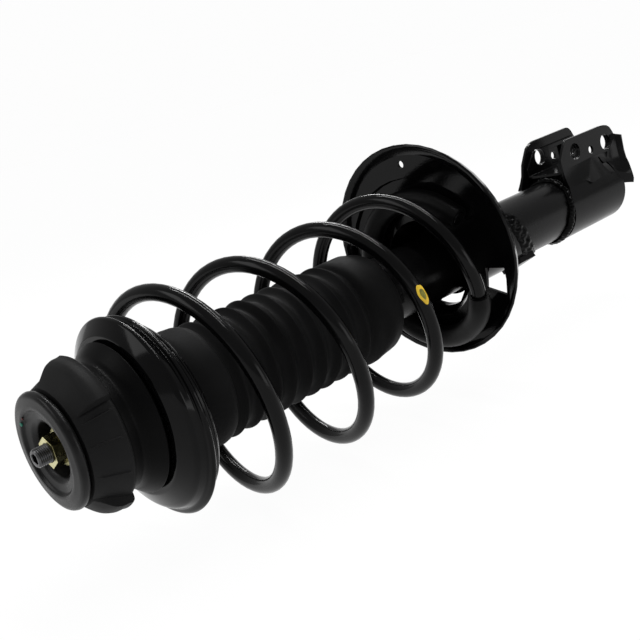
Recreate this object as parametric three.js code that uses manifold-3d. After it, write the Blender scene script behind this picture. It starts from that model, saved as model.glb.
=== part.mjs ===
// Front suspension strut with its coil spring, top mount and knuckle bracket.
// Millimetres, +Z up along the damper axis. The origin lies on the damper axis,
// level with the middle of the two knuckle bolts, and +Y points to the bracket's ears.
import * as THREE from 'three';
import { mergeVertices } from 'three/addons/utils/BufferGeometryUtils.js';
import Module from 'manifold-3d';

const wasm = await Module();
wasm.setup();

// ---------- driving dimensions ----------

const seatGap = 0.3; // between touching pieces
const runGap = 0.3; // radial clearance of sliding and turning pieces
const ringSegments = 32;
const smallSegments = 20;
const innerSegments = 19;

// damper tube
const tubeRadius = 25.5;
const tubeWall = 2.5;
const tubeTop = 288;
const tubeBottom = -33;
const baseCapThickness = 5;

// inner cylinder and foot valve
const cylinderBore = 16;
const cylinderWall = 1.5;
const baseValveHeight = 16;
const baseValveFoot = 5;
const valveDiscThickness = 1.2;
const valveDiscRadius = 11;
const valvePostRadius = 3;
const footSlotWidth = 5;

// rod guide, bush, seal and closing ring
const guideHeight = 22;
const guideSpigot = 10;
const bushWall = 1.5;
const bushHeight = 14;
const sealHeight = 4;
const closureHeight = 2;
const closureBore = 13;

// rod and piston
const rodRadius = 10;
const studRadius = 6;
const seatTopLevel = 496; // upper face of the upper spring seat
const shoulderRise = 8.7; // from that face to the rod's shoulder
const rodShoulder = seatTopLevel + shoulderRise;
const studLength = 53.3;
const rodTip = rodShoulder + studLength;
const socketAcrossFlats = 7;
const socketDepth = 8;
const tipChamfer = 1.2;
const extendedPiston = 158; // top face of the piston with the strut at full length
const pistonHeight = 16;
const pistonGap = 0.5;
const bandHeight = 8;
const bandThickness = 1;
const pistonPinRadius = 5;
const shimThickness = 1.2;
const pistonNutHeight = 9;
const pistonNutFlats = 17;
const stopHeight = 8;
const stopRadius = 14.5;
const stopBelowGuide = 30;

// bump cap on the tube and bump stop on the rod
const capWall = 1.5;
const capSkirt = 22;
const capFlangeRadius = 30.5;
const capFlangeThickness = 2;
const capFlangeDrop = 8;
const bumpStopRadius = 24;
const bumpStopLength = 79.6;
const bumpStopWaists = 3;
const bumpStopWaistDepth = 4;

// top mount
const nutFlats = 18;
const nutHeight = 11;
const nutFlangeRadius = 12.4;
const nutFlangeHeight = 2.2;
const washerRadius = 14;
const washerThickness = 2.5;
const discRadius = 38.2;
const discThickness = 3;
const discRimDepth = 7;
const discLipRadius = 24;
const bowlFloorRadius = 15.5;
const coreRadius = 9.9;
const coreBoreGap = 0.3;
const coreHeight = 26.7;
const rubberHeight = 20;
const rubberNeckRadius = 33;
const rubberNeckHeight = 4;
const rubberFrontRadius = 38.5;
const rubberBackRadius = 46.2;
const lobeReach = 6;
const lobeSpanDeg = 60;
const lobeMiddlesDeg = [64, 179, -86];

// bearing
const coverTopRadius = 43.5;
const coverWaistRadius = 41.8;
const coverSkirtRadius = 50.2;
const coverHeight = 20.5;
const coverWall = 2.6;
const raceInner = 32;
const raceOuter = 40.6;
const raceThickness = 2;
const ballRadius = 2.4;
const ballCount = 10;
const cageThickness = 2;
const cageWidth = 6.4;
const pocketClearance = 0.25;

// upper spring seat and its rubber ring
const seatPlate = 2.5;
const seatBoreRadius = 14;
const seatFlatRadius = 53;
const seatFoldRadius = 62.8;
const seatFoldDrop = 5.5;
const seatRimRadius = 67.4;
const seatRimDrop = 16;
const seatRimShift = 6.6; // the rim lies this far towards -Y of the fold
const upperRingInner = 47;
const upperRingInset = 9.9; // of its lower edge, from the seat's rim
const upperRingShoulder = 6.3; // of its upper edge, from the seat's fold
const upperRingShift = -3.4;

// dust boot
const bootRadius = 41.5;
const bootWall = 1.8;
const bootTopHeight = 56;
const bootRibs = 9;
const ribDepth = 3.6;
const ribOuterRadius = 40.8;
const cuffRadius = 38.2;
const cuffHeight = 32;
const bootEnd = 281;
const bootSag = 3; // the hanging rubber lies off the axis

// coil spring: its radius, drop below the upper end and centre line, by turn from that end
const wireRadius = 5.6;
const springTurnStart = -1.16;
const springTurnEnd = 4.22;
const springPhase = 2.2716; // angle of the wire at turn zero, seen from above
const springStepsPerTurn = 25;
const wireSides = 8;
const springRadius = 71.3;
const upperEndRadius = 54.5;
const lowerEndRadius = 56;
const springLean = 0.04; // rise of a loop's plane towards +Y
const springFall = 258; // from the upper end's level to the lower end's
const springStations = [
  { turn: springTurnStart, radius: upperEndRadius, drop: 0 },
  { turn: -0.6, radius: upperEndRadius, drop: 0.0031 * springFall },
  { turn: -0.35, radius: 1.083 * upperEndRadius, drop: 0.0116 * springFall },
  { turn: 0, radius: 1.0617 * springRadius, drop: 0.0698 * springFall },
  { turn: 0.5, radius: 1.0112 * springRadius, drop: 0.1636 * springFall },
  { turn: 1.5, radius: 1.014 * springRadius, drop: 0.4547 * springFall },
  { turn: 2.5, radius: 0.979 * springRadius, drop: 0.7442 * springFall },
  { turn: 3, radius: springRadius, drop: 0.8426 * springFall },
  { turn: 3.35, radius: 0.9818 * springRadius, drop: 0.9089 * springFall },
  { turn: 3.5, radius: 1.009 * lowerEndRadius, drop: 0.9574 * springFall },
  { turn: 3.65, radius: 0.9643 * lowerEndRadius, drop: 0.9922 * springFall },
  { turn: springTurnEnd, radius: lowerEndRadius, drop: springFall },
];
const coilShift = 10; // the centre line's largest distance from the axis
const springCentres = [
  { turn: springTurnStart, x: -0.2 * coilShift, y: -0.6 * coilShift },
  { turn: -0.6, x: -0.2 * coilShift, y: -0.65 * coilShift },
  { turn: 0.2, x: 0.26 * coilShift, y: -coilShift },
  { turn: 3.2, x: 0, y: -0.4 * coilShift },
  { turn: 3.8, x: 0.5 * coilShift, y: 0.2 * coilShift },
  { turn: springTurnEnd, x: 0.6 * coilShift, y: 0.25 * coilShift },
];
const springBelowSeat = 22;
const sleeveWall = 2.6;
const sleeveStart = 3.38;

// lower spring pan, tilted a little against the damper axis
const panRadius = 85;
const panCentre = { x: 5.5, y: 16 };
const panRimLevel = 216.4;
const panLeanX = 0.048;
const panLeanY = -0.039;
const panPlate = 2.5;
const panLipWidth = 9;
const panLipDrop = 4;
const grooveRadius = 75;
const grooveDrop = 3.5; // below the shelf
const hubRadius = 44;
const hubDrop = 24;
const collarHeight = 14;
const windowLarge = { angleDeg: -11.3, inner: 54, outer: 74, spanDeg: 17 };
const windowSmall = { angleDeg: -88, inner: 28, outer: 34, spanDeg: 46 };
const drainHole = { x: 3.8, y: 85.2, radius: 3 };

// saddle ring and hose tab under the pan
const saddleWall = 2.5;
const saddleClearance = 2.6; // under the pan's collar
const saddleEdge = 120; // level of its slanted lower edge on the axis
const saddleSlope = 0.62;
const tabWidth = 24;
const tabLength = 19;
const tabReach = 5;
const tabTop = 127;
const tabAngleDeg = -66;

// knuckle bracket
const boltSpacing = 46;
const boltHoleRadius = 7.2;
const upperBoltOffset = 44.3;
const lowerBoltOffset = 41.5;
const smallHoleRadius = 3.5;
const smallHoleOffset = 40.2;
const plateThickness = 2.5;
const earOuterFace = 21.5;
const earTip = 59.5;
const nearEarTrim = 2.7;
const earCorner = 7;
const bracketTop = 57.5;
const bracketBottom = -39;
const wrapBottom = -29.5;
const flangeThickness = 2;
const flangeLevel = -38; // of the flared edge's outer rim
const dartHeight = 5.6;
const blendDeg = 21; // the ears run into the wrap in a curve that starts here
const blendEnd = 33;
const nearEarTop = 45; // level of the near ear's upper edge beside the tube
const windowTop = 8; // window in the insert's flanks, around the small hole
const windowBottom = -11;
const windowNear = 33.5;
const windowFar = 47.5;
const insertPlate = 2.5;
const insertTop = 44;
const insertBottom = -32;
const insertTip = 51;
const insertWeb = 29;

// ---------- finishes ----------

function finish(color, roughness, metalness) {
  return new THREE.MeshStandardMaterial({ color, roughness, metalness });
}

const glossBlack = finish(0x0c0c0d, 0.28, 0.2);
const satinBlack = finish(0x111112, 0.42, 0.2);
const mattRubber = finish(0x141415, 0.82, 0);
const moulded = finish(0x17171a, 0.65, 0);
const bareSteel = finish(0x8d8f92, 0.35, 0.9);
const chromed = finish(0xc9cbcf, 0.12, 1);
const sintered = finish(0x6d6a66, 0.6, 0.7);
const bronze = finish(0x9a6f3d, 0.4, 0.9);
const zincYellow = finish(0xc9b558, 0.35, 0.8);
const foam = finish(0xb9a876, 0.9, 0);

// ---------- solids ----------

const assembly = new THREE.Group();

// A closed geometry with its faces turned outwards and only its positions left.
function closed(geometry) {
  const bare = geometry.clone();
  for (const name of Object.keys(bare.attributes)) {
    if (name !== 'position') bare.deleteAttribute(name);
  }
  const merged = mergeVertices(bare, 1e-4);
  const position = merged.getAttribute('position');
  const index = merged.getIndex();
  const corner = [new THREE.Vector3(), new THREE.Vector3(), new THREE.Vector3()];
  let volume = 0;
  const kept = [];
  for (let i = 0; i < index.count; i += 3) {
    const ids = [index.getX(i), index.getX(i + 1), index.getX(i + 2)];
    if (ids[0] === ids[1] || ids[1] === ids[2] || ids[2] === ids[0]) continue;
    ids.forEach((id, k) => corner[k].fromBufferAttribute(position, id));
    volume += corner[0].dot(corner[1].clone().cross(corner[2]));
    kept.push(ids);
  }
  const flat = kept.flatMap(([a, b, c]) => (volume < 0 ? [a, c, b] : [a, b, c]));
  merged.setIndex(flat);
  return merged;
}

function toSolid(geometry) {
  const shell = closed(geometry);
  return new wasm.Manifold(new wasm.Mesh({
    numProp: 3,
    vertProperties: new Float32Array(shell.getAttribute('position').array),
    triVerts: new Uint32Array(shell.getIndex().array),
  }));
}

function toGeometry(solid) {
  const mesh = solid.getMesh();
  const geometry = new THREE.BufferGeometry();
  geometry.setAttribute('position', new THREE.BufferAttribute(new Float32Array(mesh.vertProperties), 3));
  geometry.setIndex(new THREE.BufferAttribute(new Uint32Array(mesh.triVerts), 1));
  return geometry;
}

function add(name, shape, material) {
  const geometry = shape.isBufferGeometry ? closed(shape) : toGeometry(shape);
  geometry.computeVertexNormals();
  const mesh = new THREE.Mesh(geometry, material);
  mesh.name = name;
  assembly.add(mesh);
  return mesh;
}

// A solid of revolution about Z from [radius, height] pairs, closed on themselves.
function revolve(profile, segments = ringSegments) {
  const points = [...profile, profile[0]].map(([r, z]) => new THREE.Vector2(r, z));
  return closed(new THREE.LatheGeometry(points, segments).rotateX(Math.PI / 2));
}

function ring(inner, outer, low, high, segments = ringSegments) {
  return revolve([[inner, low], [outer, low], [outer, high], [inner, high]], segments);
}

function disc(radius, low, high, segments = ringSegments) {
  return closed(new THREE.CylinderGeometry(radius, radius, high - low, segments)
    .rotateX(Math.PI / 2).translate(0, 0, (low + high) / 2));
}

function box(x0, x1, y0, y1, z0, z1) {
  return closed(new THREE.BoxGeometry(x1 - x0, y1 - y0, z1 - z0)
    .translate((x0 + x1) / 2, (y0 + y1) / 2, (z0 + z1) / 2));
}

function hexagon(acrossFlats, low, high) {
  const corner = acrossFlats / 2 / Math.cos(Math.PI / 6);
  return closed(new THREE.CylinderGeometry(corner, corner, high - low, 6)
    .rotateX(Math.PI / 2).translate(0, 0, (low + high) / 2));
}

// A prism of a [y, z] outline that runs along X.
function sidePrism(outline, x0, x1) {
  const shape = new THREE.Shape(outline.map(([y, z]) => new THREE.Vector2(y, z)));
  const prism = new THREE.ExtrudeGeometry(shape, { depth: x1 - x0, bevelEnabled: false, curveSegments: 8 });
  prism.applyMatrix4(new THREE.Matrix4().makeBasis(
    new THREE.Vector3(0, 1, 0),
    new THREE.Vector3(0, 0, 1),
    new THREE.Vector3(1, 0, 0),
  ));
  return closed(prism.translate(x0, 0, 0));
}

function crossBar(radius, y, z, x0, x1) {
  return closed(new THREE.CylinderGeometry(radius, radius, x1 - x0, smallSegments)
    .rotateZ(Math.PI / 2).translate((x0 + x1) / 2, y, z));
}

// ---------- damper ----------

const tubeInner = tubeRadius - tubeWall;
const cylinderOuter = cylinderBore + cylinderWall;
const baseCapTop = tubeBottom + baseCapThickness;
const closureTop = tubeTop - 1;
const sealTop = closureTop - closureHeight - seatGap;
const guideTop = sealTop - sealHeight - seatGap;
const guideBottom = guideTop - guideHeight;
const guideShoulder = guideBottom + guideSpigot;
const cylinderTop = guideShoulder - seatGap;
const baseValveBottom = baseCapTop + seatGap;
const cylinderBottom = baseValveBottom + baseValveFoot + seatGap;

function addTube() {
  add('strut_tube', ring(tubeInner, tubeRadius, tubeBottom, tubeTop), satinBlack);
  add('tube_bottom_cap', disc(tubeInner - seatGap, tubeBottom, baseCapTop, innerSegments), satinBlack);
  const cylinder = ring(cylinderBore, cylinderOuter, cylinderBottom, cylinderTop, innerSegments);
  add('pressure_tube', cylinder, bareSteel);
}

function addFootValve() {
  const bodyRadius = cylinderBore - seatGap;
  const footRadius = tubeInner - seatGap;
  const valveTop = baseValveBottom + baseValveHeight;
  const seat = valveTop - valveDiscThickness - seatGap;
  let body = toSolid(revolve([
    [valvePostRadius, baseValveBottom], [footRadius, baseValveBottom],
    [footRadius, baseValveBottom + baseValveFoot], [bodyRadius, baseValveBottom + baseValveFoot],
    [bodyRadius, seat], [valvePostRadius, seat],
  ], innerSegments));
  const slotReach = footRadius + 1;
  const half = footSlotWidth / 2;
  const slotTop = baseValveBottom + baseValveFoot / 2;
  const slot = toSolid(box(-slotReach, slotReach, -half, half, baseValveBottom - 1, slotTop));
  body = body.subtract(slot);
  add('base_valve_body', body, sintered);
  const low = seat + seatGap;
  add('base_valve_disc', ring(valvePostRadius, valveDiscRadius, low, low + valveDiscThickness, smallSegments),
    bareSteel);
}

function addHeadSet() {
  const guideRadius = tubeInner - seatGap;
  const spigotRadius = cylinderBore - seatGap;
  const bushOuter = rodRadius + runGap + bushWall;
  const bushLow = guideTop - bushHeight;
  add('rod_guide', revolve([
    [rodRadius + 1, guideBottom], [spigotRadius, guideBottom], [spigotRadius, guideShoulder],
    [guideRadius, guideShoulder], [guideRadius, guideTop], [bushOuter + seatGap, guideTop],
    [bushOuter + seatGap, bushLow - seatGap], [rodRadius + 1, bushLow - seatGap],
  ], innerSegments), sintered);
  add('guide_bush', ring(rodRadius + runGap, bushOuter, bushLow, guideTop, innerSegments), bronze);
  const sealLow = sealTop - sealHeight;
  const lipHeight = sealHeight / 2;
  add('rod_seal', revolve([
    [rodRadius + runGap, sealLow + lipHeight], [rodRadius + 2, sealLow], [guideRadius, sealLow],
    [guideRadius, sealTop], [rodRadius + 2, sealTop],
  ], innerSegments), mattRubber);
  add('tube_closure', ring(closureBore, guideRadius, closureTop - closureHeight, closureTop, innerSegments),
    satinBlack);
}

function addRod() {
  const pinBottom = extendedPiston - pistonHeight - shimThickness * 2 - pistonNutHeight - 4;
  const pinTop = extendedPiston + shimThickness + 2 * seatGap;
  let rod = toSolid(revolve([
    [0, pinBottom], [pistonPinRadius, pinBottom], [pistonPinRadius, pinTop], [rodRadius, pinTop],
    [rodRadius, rodShoulder], [studRadius, rodShoulder], [studRadius, rodTip - tipChamfer],
    [studRadius - tipChamfer, rodTip], [0, rodTip],
  ], innerSegments));
  rod = rod.subtract(toSolid(hexagon(socketAcrossFlats, rodTip - socketDepth, rodTip + 1)));
  add('piston_rod', rod, chromed);
}

function addPiston() {
  const pinHole = pistonPinRadius + seatGap;
  const outer = cylinderBore - pistonGap;
  const top = extendedPiston;
  const bottom = top - pistonHeight;
  const groove = outer - bandThickness;
  const bandLow = (top + bottom - bandHeight) / 2;
  const bandHigh = bandLow + bandHeight;
  add('piston', revolve([
    [pinHole, bottom], [outer, bottom], [outer, bandLow - seatGap], [groove, bandLow - seatGap],
    [groove, bandHigh + seatGap], [outer, bandHigh + seatGap], [outer, top], [pinHole, top],
  ], innerSegments), sintered);
  const band = ring(groove + seatGap, cylinderBore - runGap, bandLow, bandHigh, innerSegments);
  add('piston_band', band, moulded);
  const shimRadius = outer * 0.72;
  const compressionLow = top + seatGap;
  add('compression_shims', ring(pinHole, shimRadius, compressionLow, compressionLow + shimThickness,
    smallSegments), bareSteel);
  const reboundHigh = bottom - seatGap;
  add('rebound_shims', ring(pinHole, shimRadius, reboundHigh - shimThickness, reboundHigh,
    smallSegments), bareSteel);
  const nutHigh = reboundHigh - shimThickness - seatGap;
  const nut = toSolid(hexagon(pistonNutFlats, nutHigh - pistonNutHeight, nutHigh));
  const bore = toSolid(disc(pinHole, nutHigh - pistonNutHeight - 1, nutHigh + 1, smallSegments));
  add('piston_nut', nut.subtract(bore), bareSteel);
  const stopTop = guideBottom - stopBelowGuide;
  add('rebound_stop', ring(rodRadius + seatGap, stopRadius, stopTop - stopHeight, stopTop, smallSegments),
    moulded);
}

// ---------- bump cap and bump stop ----------

function addBumpParts() {
  const capInner = tubeRadius + seatGap;
  const capOuter = capInner + capWall;
  const plateLow = tubeTop + seatGap;
  const plateHigh = plateLow + capWall;
  const flangeHigh = plateHigh - capFlangeDrop;
  const flangeLow = flangeHigh - capFlangeThickness;
  const skirtLow = plateHigh - capSkirt;
  add('bump_cap', revolve([
    [rodRadius + 2, plateLow], [capInner, plateLow], [capInner, skirtLow], [capOuter, skirtLow],
    [capOuter, flangeLow], [capFlangeRadius, flangeLow], [capFlangeRadius, flangeHigh],
    [capOuter, flangeHigh], [capOuter, plateHigh], [rodRadius + 2, plateHigh],
  ], 24), satinBlack);
  const stopHigh = seatTopLevel - seatPlate - seatGap;
  const bore = rodRadius + 2 * runGap;
  const outline = [[bore, stopHigh - bumpStopLength], [bumpStopRadius - 7, stopHigh - bumpStopLength]];
  const step = bumpStopLength / (2 * bumpStopWaists + 1);
  for (let i = 0; i <= 2 * bumpStopWaists; i += 1) {
    const height = stopHigh - bumpStopLength + (i + 0.5) * step;
    outline.push([bumpStopRadius - (i % 2 === 1 ? bumpStopWaistDepth : 0), height]);
  }
  outline.push([bumpStopRadius, stopHigh], [bore, stopHigh]);
  add('bump_stop', revolve(outline, smallSegments), foam);
}

// ---------- top mount ----------

const coreBottom = rodShoulder + seatGap;
const coreTop = coreBottom + coreHeight;
const discFloorLow = coreTop + seatGap;
const discFloorTop = discFloorLow + discThickness;
const washerLow = discFloorTop + seatGap;
const nutLow = washerLow + washerThickness + seatGap;
const discLip = rodTip - 6;
const discEdge = discLip - 2;
const rubberTop = discEdge - discRimDepth - seatGap;
const coverTop = rubberTop - rubberHeight - rubberNeckHeight - seatGap;
const coverBottom = coverTop - coverHeight;

function addStudHardware() {
  const bore = studRadius + seatGap;
  const flangeTop = nutLow + nutFlangeHeight;
  const hex = toSolid(hexagon(nutFlats, flangeTop - 0.5, nutLow + nutHeight));
  const flange = toSolid(disc(nutFlangeRadius, nutLow, flangeTop, smallSegments));
  const hole = toSolid(disc(bore, nutLow - 1, nutLow + nutHeight + 1, smallSegments));
  add('rod_nut', hex.add(flange).subtract(hole), zincYellow);
  const washer = ring(bore, washerRadius, washerLow, washerLow + washerThickness, smallSegments);
  add('nut_washer', washer, zincYellow);
}

function addMountDisc() {
  const bore = studRadius + seatGap;
  const wall = discThickness;
  add('mount_top_disc', revolve([
    [bore, discFloorLow], [bowlFloorRadius + wall, discFloorLow],
    [discLipRadius + 1, discEdge - discRimDepth], [discRadius - 3, discEdge - discRimDepth],
    [discRadius - 0.6, discEdge - discRimDepth + 1.6],
    [discRadius, discEdge - discRimDepth / 2], [discRadius - 0.8, discEdge - 1.2], [discRadius - 3, discEdge],
    [discLipRadius + 5, discEdge], [discLipRadius + 2.5, discLip], [discLipRadius, discLip - 0.8],
    [bowlFloorRadius, discFloorTop], [bore, discFloorTop],
  ]), satinBlack);
}

// How far a lobe of the moulded block stands out at an angle, from none to full.
function lobeShape(angle) {
  const flank = 0.1;
  const half = THREE.MathUtils.degToRad(lobeSpanDeg / 2);
  const offsets = lobeMiddlesDeg.map((middle) => {
    const away = angle - THREE.MathUtils.degToRad(middle);
    return Math.abs(Math.atan2(Math.sin(away), Math.cos(away)));
  });
  return THREE.MathUtils.clamp((half + flank - Math.min(...offsets)) / flank, 0, 1);
}

function addMountRubber() {
  const low = coverTop + seatGap;
  const bodyTop = rubberTop - rubberNeckHeight;
  const sides = 46;
  const slope = (share) => THREE.MathUtils.lerp(rubberBackRadius, rubberFrontRadius, share);
  const height = bodyTop - low;
  const rows = [
    { z: low, radius: rubberBackRadius - 1.2, lobe: 0.5 },
    { z: low + 2, radius: rubberBackRadius, lobe: 0.65 },
    { z: low + 0.45 * height, radius: slope(0.4), lobe: 1 },
    { z: low + 0.75 * height, radius: slope(0.72), lobe: 0.85 },
    { z: low + 0.9 * height, radius: slope(0.9), lobe: 0.5 },
    { z: bodyTop, radius: rubberFrontRadius, lobe: 0.1 },
    { z: bodyTop + 0.6, radius: rubberNeckRadius, lobe: 0 },
    { z: rubberTop, radius: rubberNeckRadius, lobe: 0 },
  ];
  let block = toSolid(stackedRings(rows.map((row) => ({
    z: row.z,
    radiusAt: (angle) => row.radius + lobeReach * row.lobe * lobeShape(angle),
  })), sides));
  const coreHole = coreRadius + coreBoreGap;
  block = block.subtract(toSolid(disc(coreHole, low - 1, rubberTop + 1)));
  const bowl = toSolid(revolve([
    [0, discFloorLow - seatGap], [bowlFloorRadius + discThickness + seatGap, discFloorLow - seatGap],
    [discLipRadius + 1 + seatGap, rubberTop + seatGap], [discLipRadius + 1, rubberTop + 2],
    [0, rubberTop + 2],
  ]));
  add('mount_rubber', block.subtract(bowl), mattRubber);
  add('mount_core', ring(studRadius + seatGap, coreRadius, coreBottom, coreTop, smallSegments), bareSteel);
}

// A closed stack of rings about Z, each with its own radius by angle.
function stackedRings(rows, sides) {
  const positions = [];
  for (const row of rows) {
    for (let i = 0; i < sides; i += 1) {
      const angle = (2 * Math.PI * i) / sides;
      const radius = row.radiusAt(angle);
      positions.push(radius * Math.cos(angle), radius * Math.sin(angle), row.z);
    }
  }
  const index = [];
  for (let r = 0; r + 1 < rows.length; r += 1) {
    for (let i = 0; i < sides; i += 1) {
      const a = r * sides + i;
      const b = r * sides + ((i + 1) % sides);
      index.push(a, b, a + sides, b, b + sides, a + sides);
    }
  }
  const lowCentre = positions.length / 3;
  positions.push(0, 0, rows[0].z, 0, 0, rows.at(-1).z);
  const last = (rows.length - 1) * sides;
  for (let i = 0; i < sides; i += 1) {
    const next = (i + 1) % sides;
    index.push(lowCentre, next, i, lowCentre + 1, last + i, last + next);
  }
  const geometry = new THREE.BufferGeometry();
  geometry.setAttribute('position', new THREE.Float32BufferAttribute(positions, 3));
  geometry.setIndex(index);
  return closed(geometry);
}

// ---------- bearing ----------

const lowerRaceLow = seatTopLevel + seatGap;
const lowerRaceTop = lowerRaceLow + raceThickness;
const ballLevel = lowerRaceTop + seatGap + ballRadius;
const upperRaceLow = ballLevel + ballRadius + seatGap;
const upperRaceTop = upperRaceLow + raceThickness;
const coverCeiling = upperRaceTop + seatGap;
const ballCircle = (raceInner + raceOuter) / 2;

function addBearing() {
  const hole = coreRadius + coreBoreGap + 0.4;
  const skirtInner = coverSkirtRadius - coverWall;
  const pocketWall = raceOuter + seatGap;
  add('bearing_cover', revolve([
    [hole, coverCeiling], [pocketWall, coverCeiling], [pocketWall, coverCeiling - 2.5],
    [skirtInner - 1, coverBottom + 2.5], [skirtInner, coverBottom], [coverSkirtRadius - 0.5, coverBottom],
    [coverSkirtRadius, coverBottom + 1.2], [coverWaistRadius + 4.6, coverBottom + 5.4],
    [coverWaistRadius + 1.2, coverBottom + 9], [coverWaistRadius, coverBottom + 12.5],
    [coverTopRadius - 0.4, coverTop - 3], [coverTopRadius, coverTop], [hole, coverTop],
  ]), moulded);
  add('bearing_upper_race', ring(raceInner, raceOuter, upperRaceLow, upperRaceTop, innerSegments), bareSteel);
  add('bearing_lower_race', ring(raceInner, raceOuter, lowerRaceLow, lowerRaceTop, innerSegments), bareSteel);
  const cageInner = ballCircle - cageWidth / 2;
  const cageOuter = ballCircle + cageWidth / 2;
  const half = cageThickness / 2;
  let cage = toSolid(ring(cageInner, cageOuter, ballLevel - half, ballLevel + half, 2 * ballCount));
  for (let i = 0; i < ballCount; i += 1) {
    const angle = (2 * Math.PI * i) / ballCount;
    const centre = [ballCircle * Math.cos(angle), ballCircle * Math.sin(angle)];
    const pocketRadius = ballRadius + pocketClearance;
    const pocket = disc(pocketRadius, ballLevel - cageThickness, ballLevel + cageThickness, 8);
    cage = cage.subtract(toSolid(pocket.translate(centre[0], centre[1], 0)));
    const ball = new THREE.SphereGeometry(ballRadius, 8, 4).rotateX(Math.PI / 2)
      .translate(centre[0], centre[1], ballLevel);
    add(`bearing_ball_${String(i + 1).padStart(2, '0')}`, ball, chromed);
  }
  add('ball_cage', cage, moulded);
}

// ---------- upper spring seat ----------

function addUpperSeat() {
  const fold = seatTopLevel - seatFoldDrop;
  const rim = seatTopLevel - seatRimDrop;
  const under = seatPlate * 0.9;
  const seat = revolve([
    [seatBoreRadius, seatTopLevel - seatPlate], [seatFlatRadius - 1, seatTopLevel - seatPlate],
    [seatFoldRadius - under, fold - under + 0.6], [seatRimRadius - 6, rim + 1.4],
    [seatRimRadius - 3.4, rim - 0.8], [seatRimRadius - 1.6, rim - 1.6],
    [seatRimRadius, rim], [seatRimRadius - 0.4, rim + 2],
    [seatRimRadius - 3.2, rim + 3], [seatFoldRadius + 1.8, fold - 2], [seatFoldRadius, fold],
    [seatFlatRadius, seatTopLevel], [seatBoreRadius, seatTopLevel],
  ], 40);
  const position = seat.getAttribute('position');
  for (let i = 0; i < position.count; i += 1) {
    const below = Math.max(0, fold + 0.5 - position.getZ(i)) / (fold - rim);
    const outside = Math.hypot(position.getX(i), position.getY(i)) > seatFlatRadius + 1;
    if (outside) position.setY(i, position.getY(i) - seatRimShift * Math.min(below, 1));
  }
  add('upper_spring_seat', seat, glossBlack);
  const ringTop = seatTopLevel - seatPlate - seatGap;
  const ringLow = springTop + wireRadius + seatGap;
  const outerTop = fold - under - seatGap + 0.6;
  add('upper_insulator', revolve([
    [upperRingInner, ringLow], [seatRimRadius - upperRingInset, ringLow],
    [seatFoldRadius - upperRingShoulder, outerTop - 0.6],
    [seatFlatRadius - 5, ringTop], [upperRingInner, ringTop],
  ]), mattRubber).position.y = upperRingShift;
}

// ---------- dust boot ----------

function addBoot() {
  const top = seatTopLevel - seatPlate - seatGap;
  const shoulder = top - bootTopHeight;
  const cuffTop = bootEnd + cuffHeight;
  const ribPitch = (shoulder - cuffTop) / bootRibs;
  const outer = [
    [bootRadius - 9, top], [bootRadius - 1, top - 1], [bootRadius, top - 4], [bootRadius + 0.4, shoulder + 9],
    [bootRadius - 1.5, shoulder + 3], [ribOuterRadius - ribDepth + 1, shoulder],
  ];
  for (let i = 0; i < bootRibs; i += 1) {
    const crest = shoulder - (i + 0.5) * ribPitch;
    outer.push([ribOuterRadius, crest]);
    if (i < bootRibs - 1) outer.push([ribOuterRadius - ribDepth, crest - ribPitch / 2]);
  }
  outer.push([ribOuterRadius - ribDepth + 0.8, cuffTop], [ribOuterRadius, cuffTop - 6],
    [ribOuterRadius, bootEnd + 14], [cuffRadius + 0.4, bootEnd + 4], [cuffRadius, bootEnd + 1.6],
    [cuffRadius - 0.8, bootEnd]);
  const inner = outer.slice(1, -1).map(([r, z]) => [r - bootWall, z]);
  inner[0][1] = top - bootWall;
  const innerEnd = [cuffRadius - 0.8 - bootWall, bootEnd];
  const innerTop = [bootRadius - 9, top - bootWall];
  const geometry = revolve([...outer, innerEnd, ...inner.reverse(), innerTop], 24);
  add('dust_boot', geometry, mattRubber).position.y = -bootSag;
}

// ---------- coil spring ----------

const springTop = seatTopLevel - springBelowSeat;
const sleeveRadius = wireRadius + seatGap + sleeveWall;

// Level of the lower pan's rim plane over a point.
function panLevel(x, y) {
  return panRimLevel - panLeanX * (x - panCentre.x) - panLeanY * (y - panCentre.y);
}

// A smooth value by turn through a list of stations.
function along(list, key, turn) {
  let i = 0;
  while (i < list.length - 2 && turn > list[i + 1].turn) i += 1;
  const slope = (k) => {
    const before = list[Math.max(k - 1, 0)];
    const after = list[Math.min(k + 1, list.length - 1)];
    return (after[key] - before[key]) / (after.turn - before.turn);
  };
  const [a, b] = [list[i], list[i + 1]];
  const span = b.turn - a.turn;
  const t = (turn - a.turn) / span;
  const t2 = t * t;
  const t3 = t2 * t;
  return a[key] * (2 * t3 - 3 * t2 + 1) + b[key] * (3 * t2 - 2 * t3)
    + slope(i) * span * (t3 - 2 * t2 + t) + slope(i + 1) * span * (t3 - t2);
}

function springPoint(turn) {
  const radius = along(springStations, 'radius', turn);
  const angle = springPhase - 2 * Math.PI * turn;
  const rise = radius * Math.sin(angle);
  const x = radius * Math.cos(angle) + along(springCentres, 'x', turn);
  const y = rise + along(springCentres, 'y', turn);
  const lean = springLean * rise * THREE.MathUtils.smoothstep(turn, -0.5, 0);
  const free = springTop - along(springStations, 'drop', turn) + lean;
  const seated = panLevel(x, y) - panLipDrop - grooveDrop + seatGap + sleeveRadius;
  const settled = THREE.MathUtils.smoothstep(turn, 3.3, 3.75);
  return new THREE.Vector3(x, y, THREE.MathUtils.lerp(free, seated, settled));
}

function springPath(from, to) {
  const steps = Math.round((to - from) * springStepsPerTurn);
  const points = [];
  for (let i = 0; i <= steps; i += 1) points.push(springPoint(from + ((to - from) * i) / steps));
  return points;
}

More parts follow.
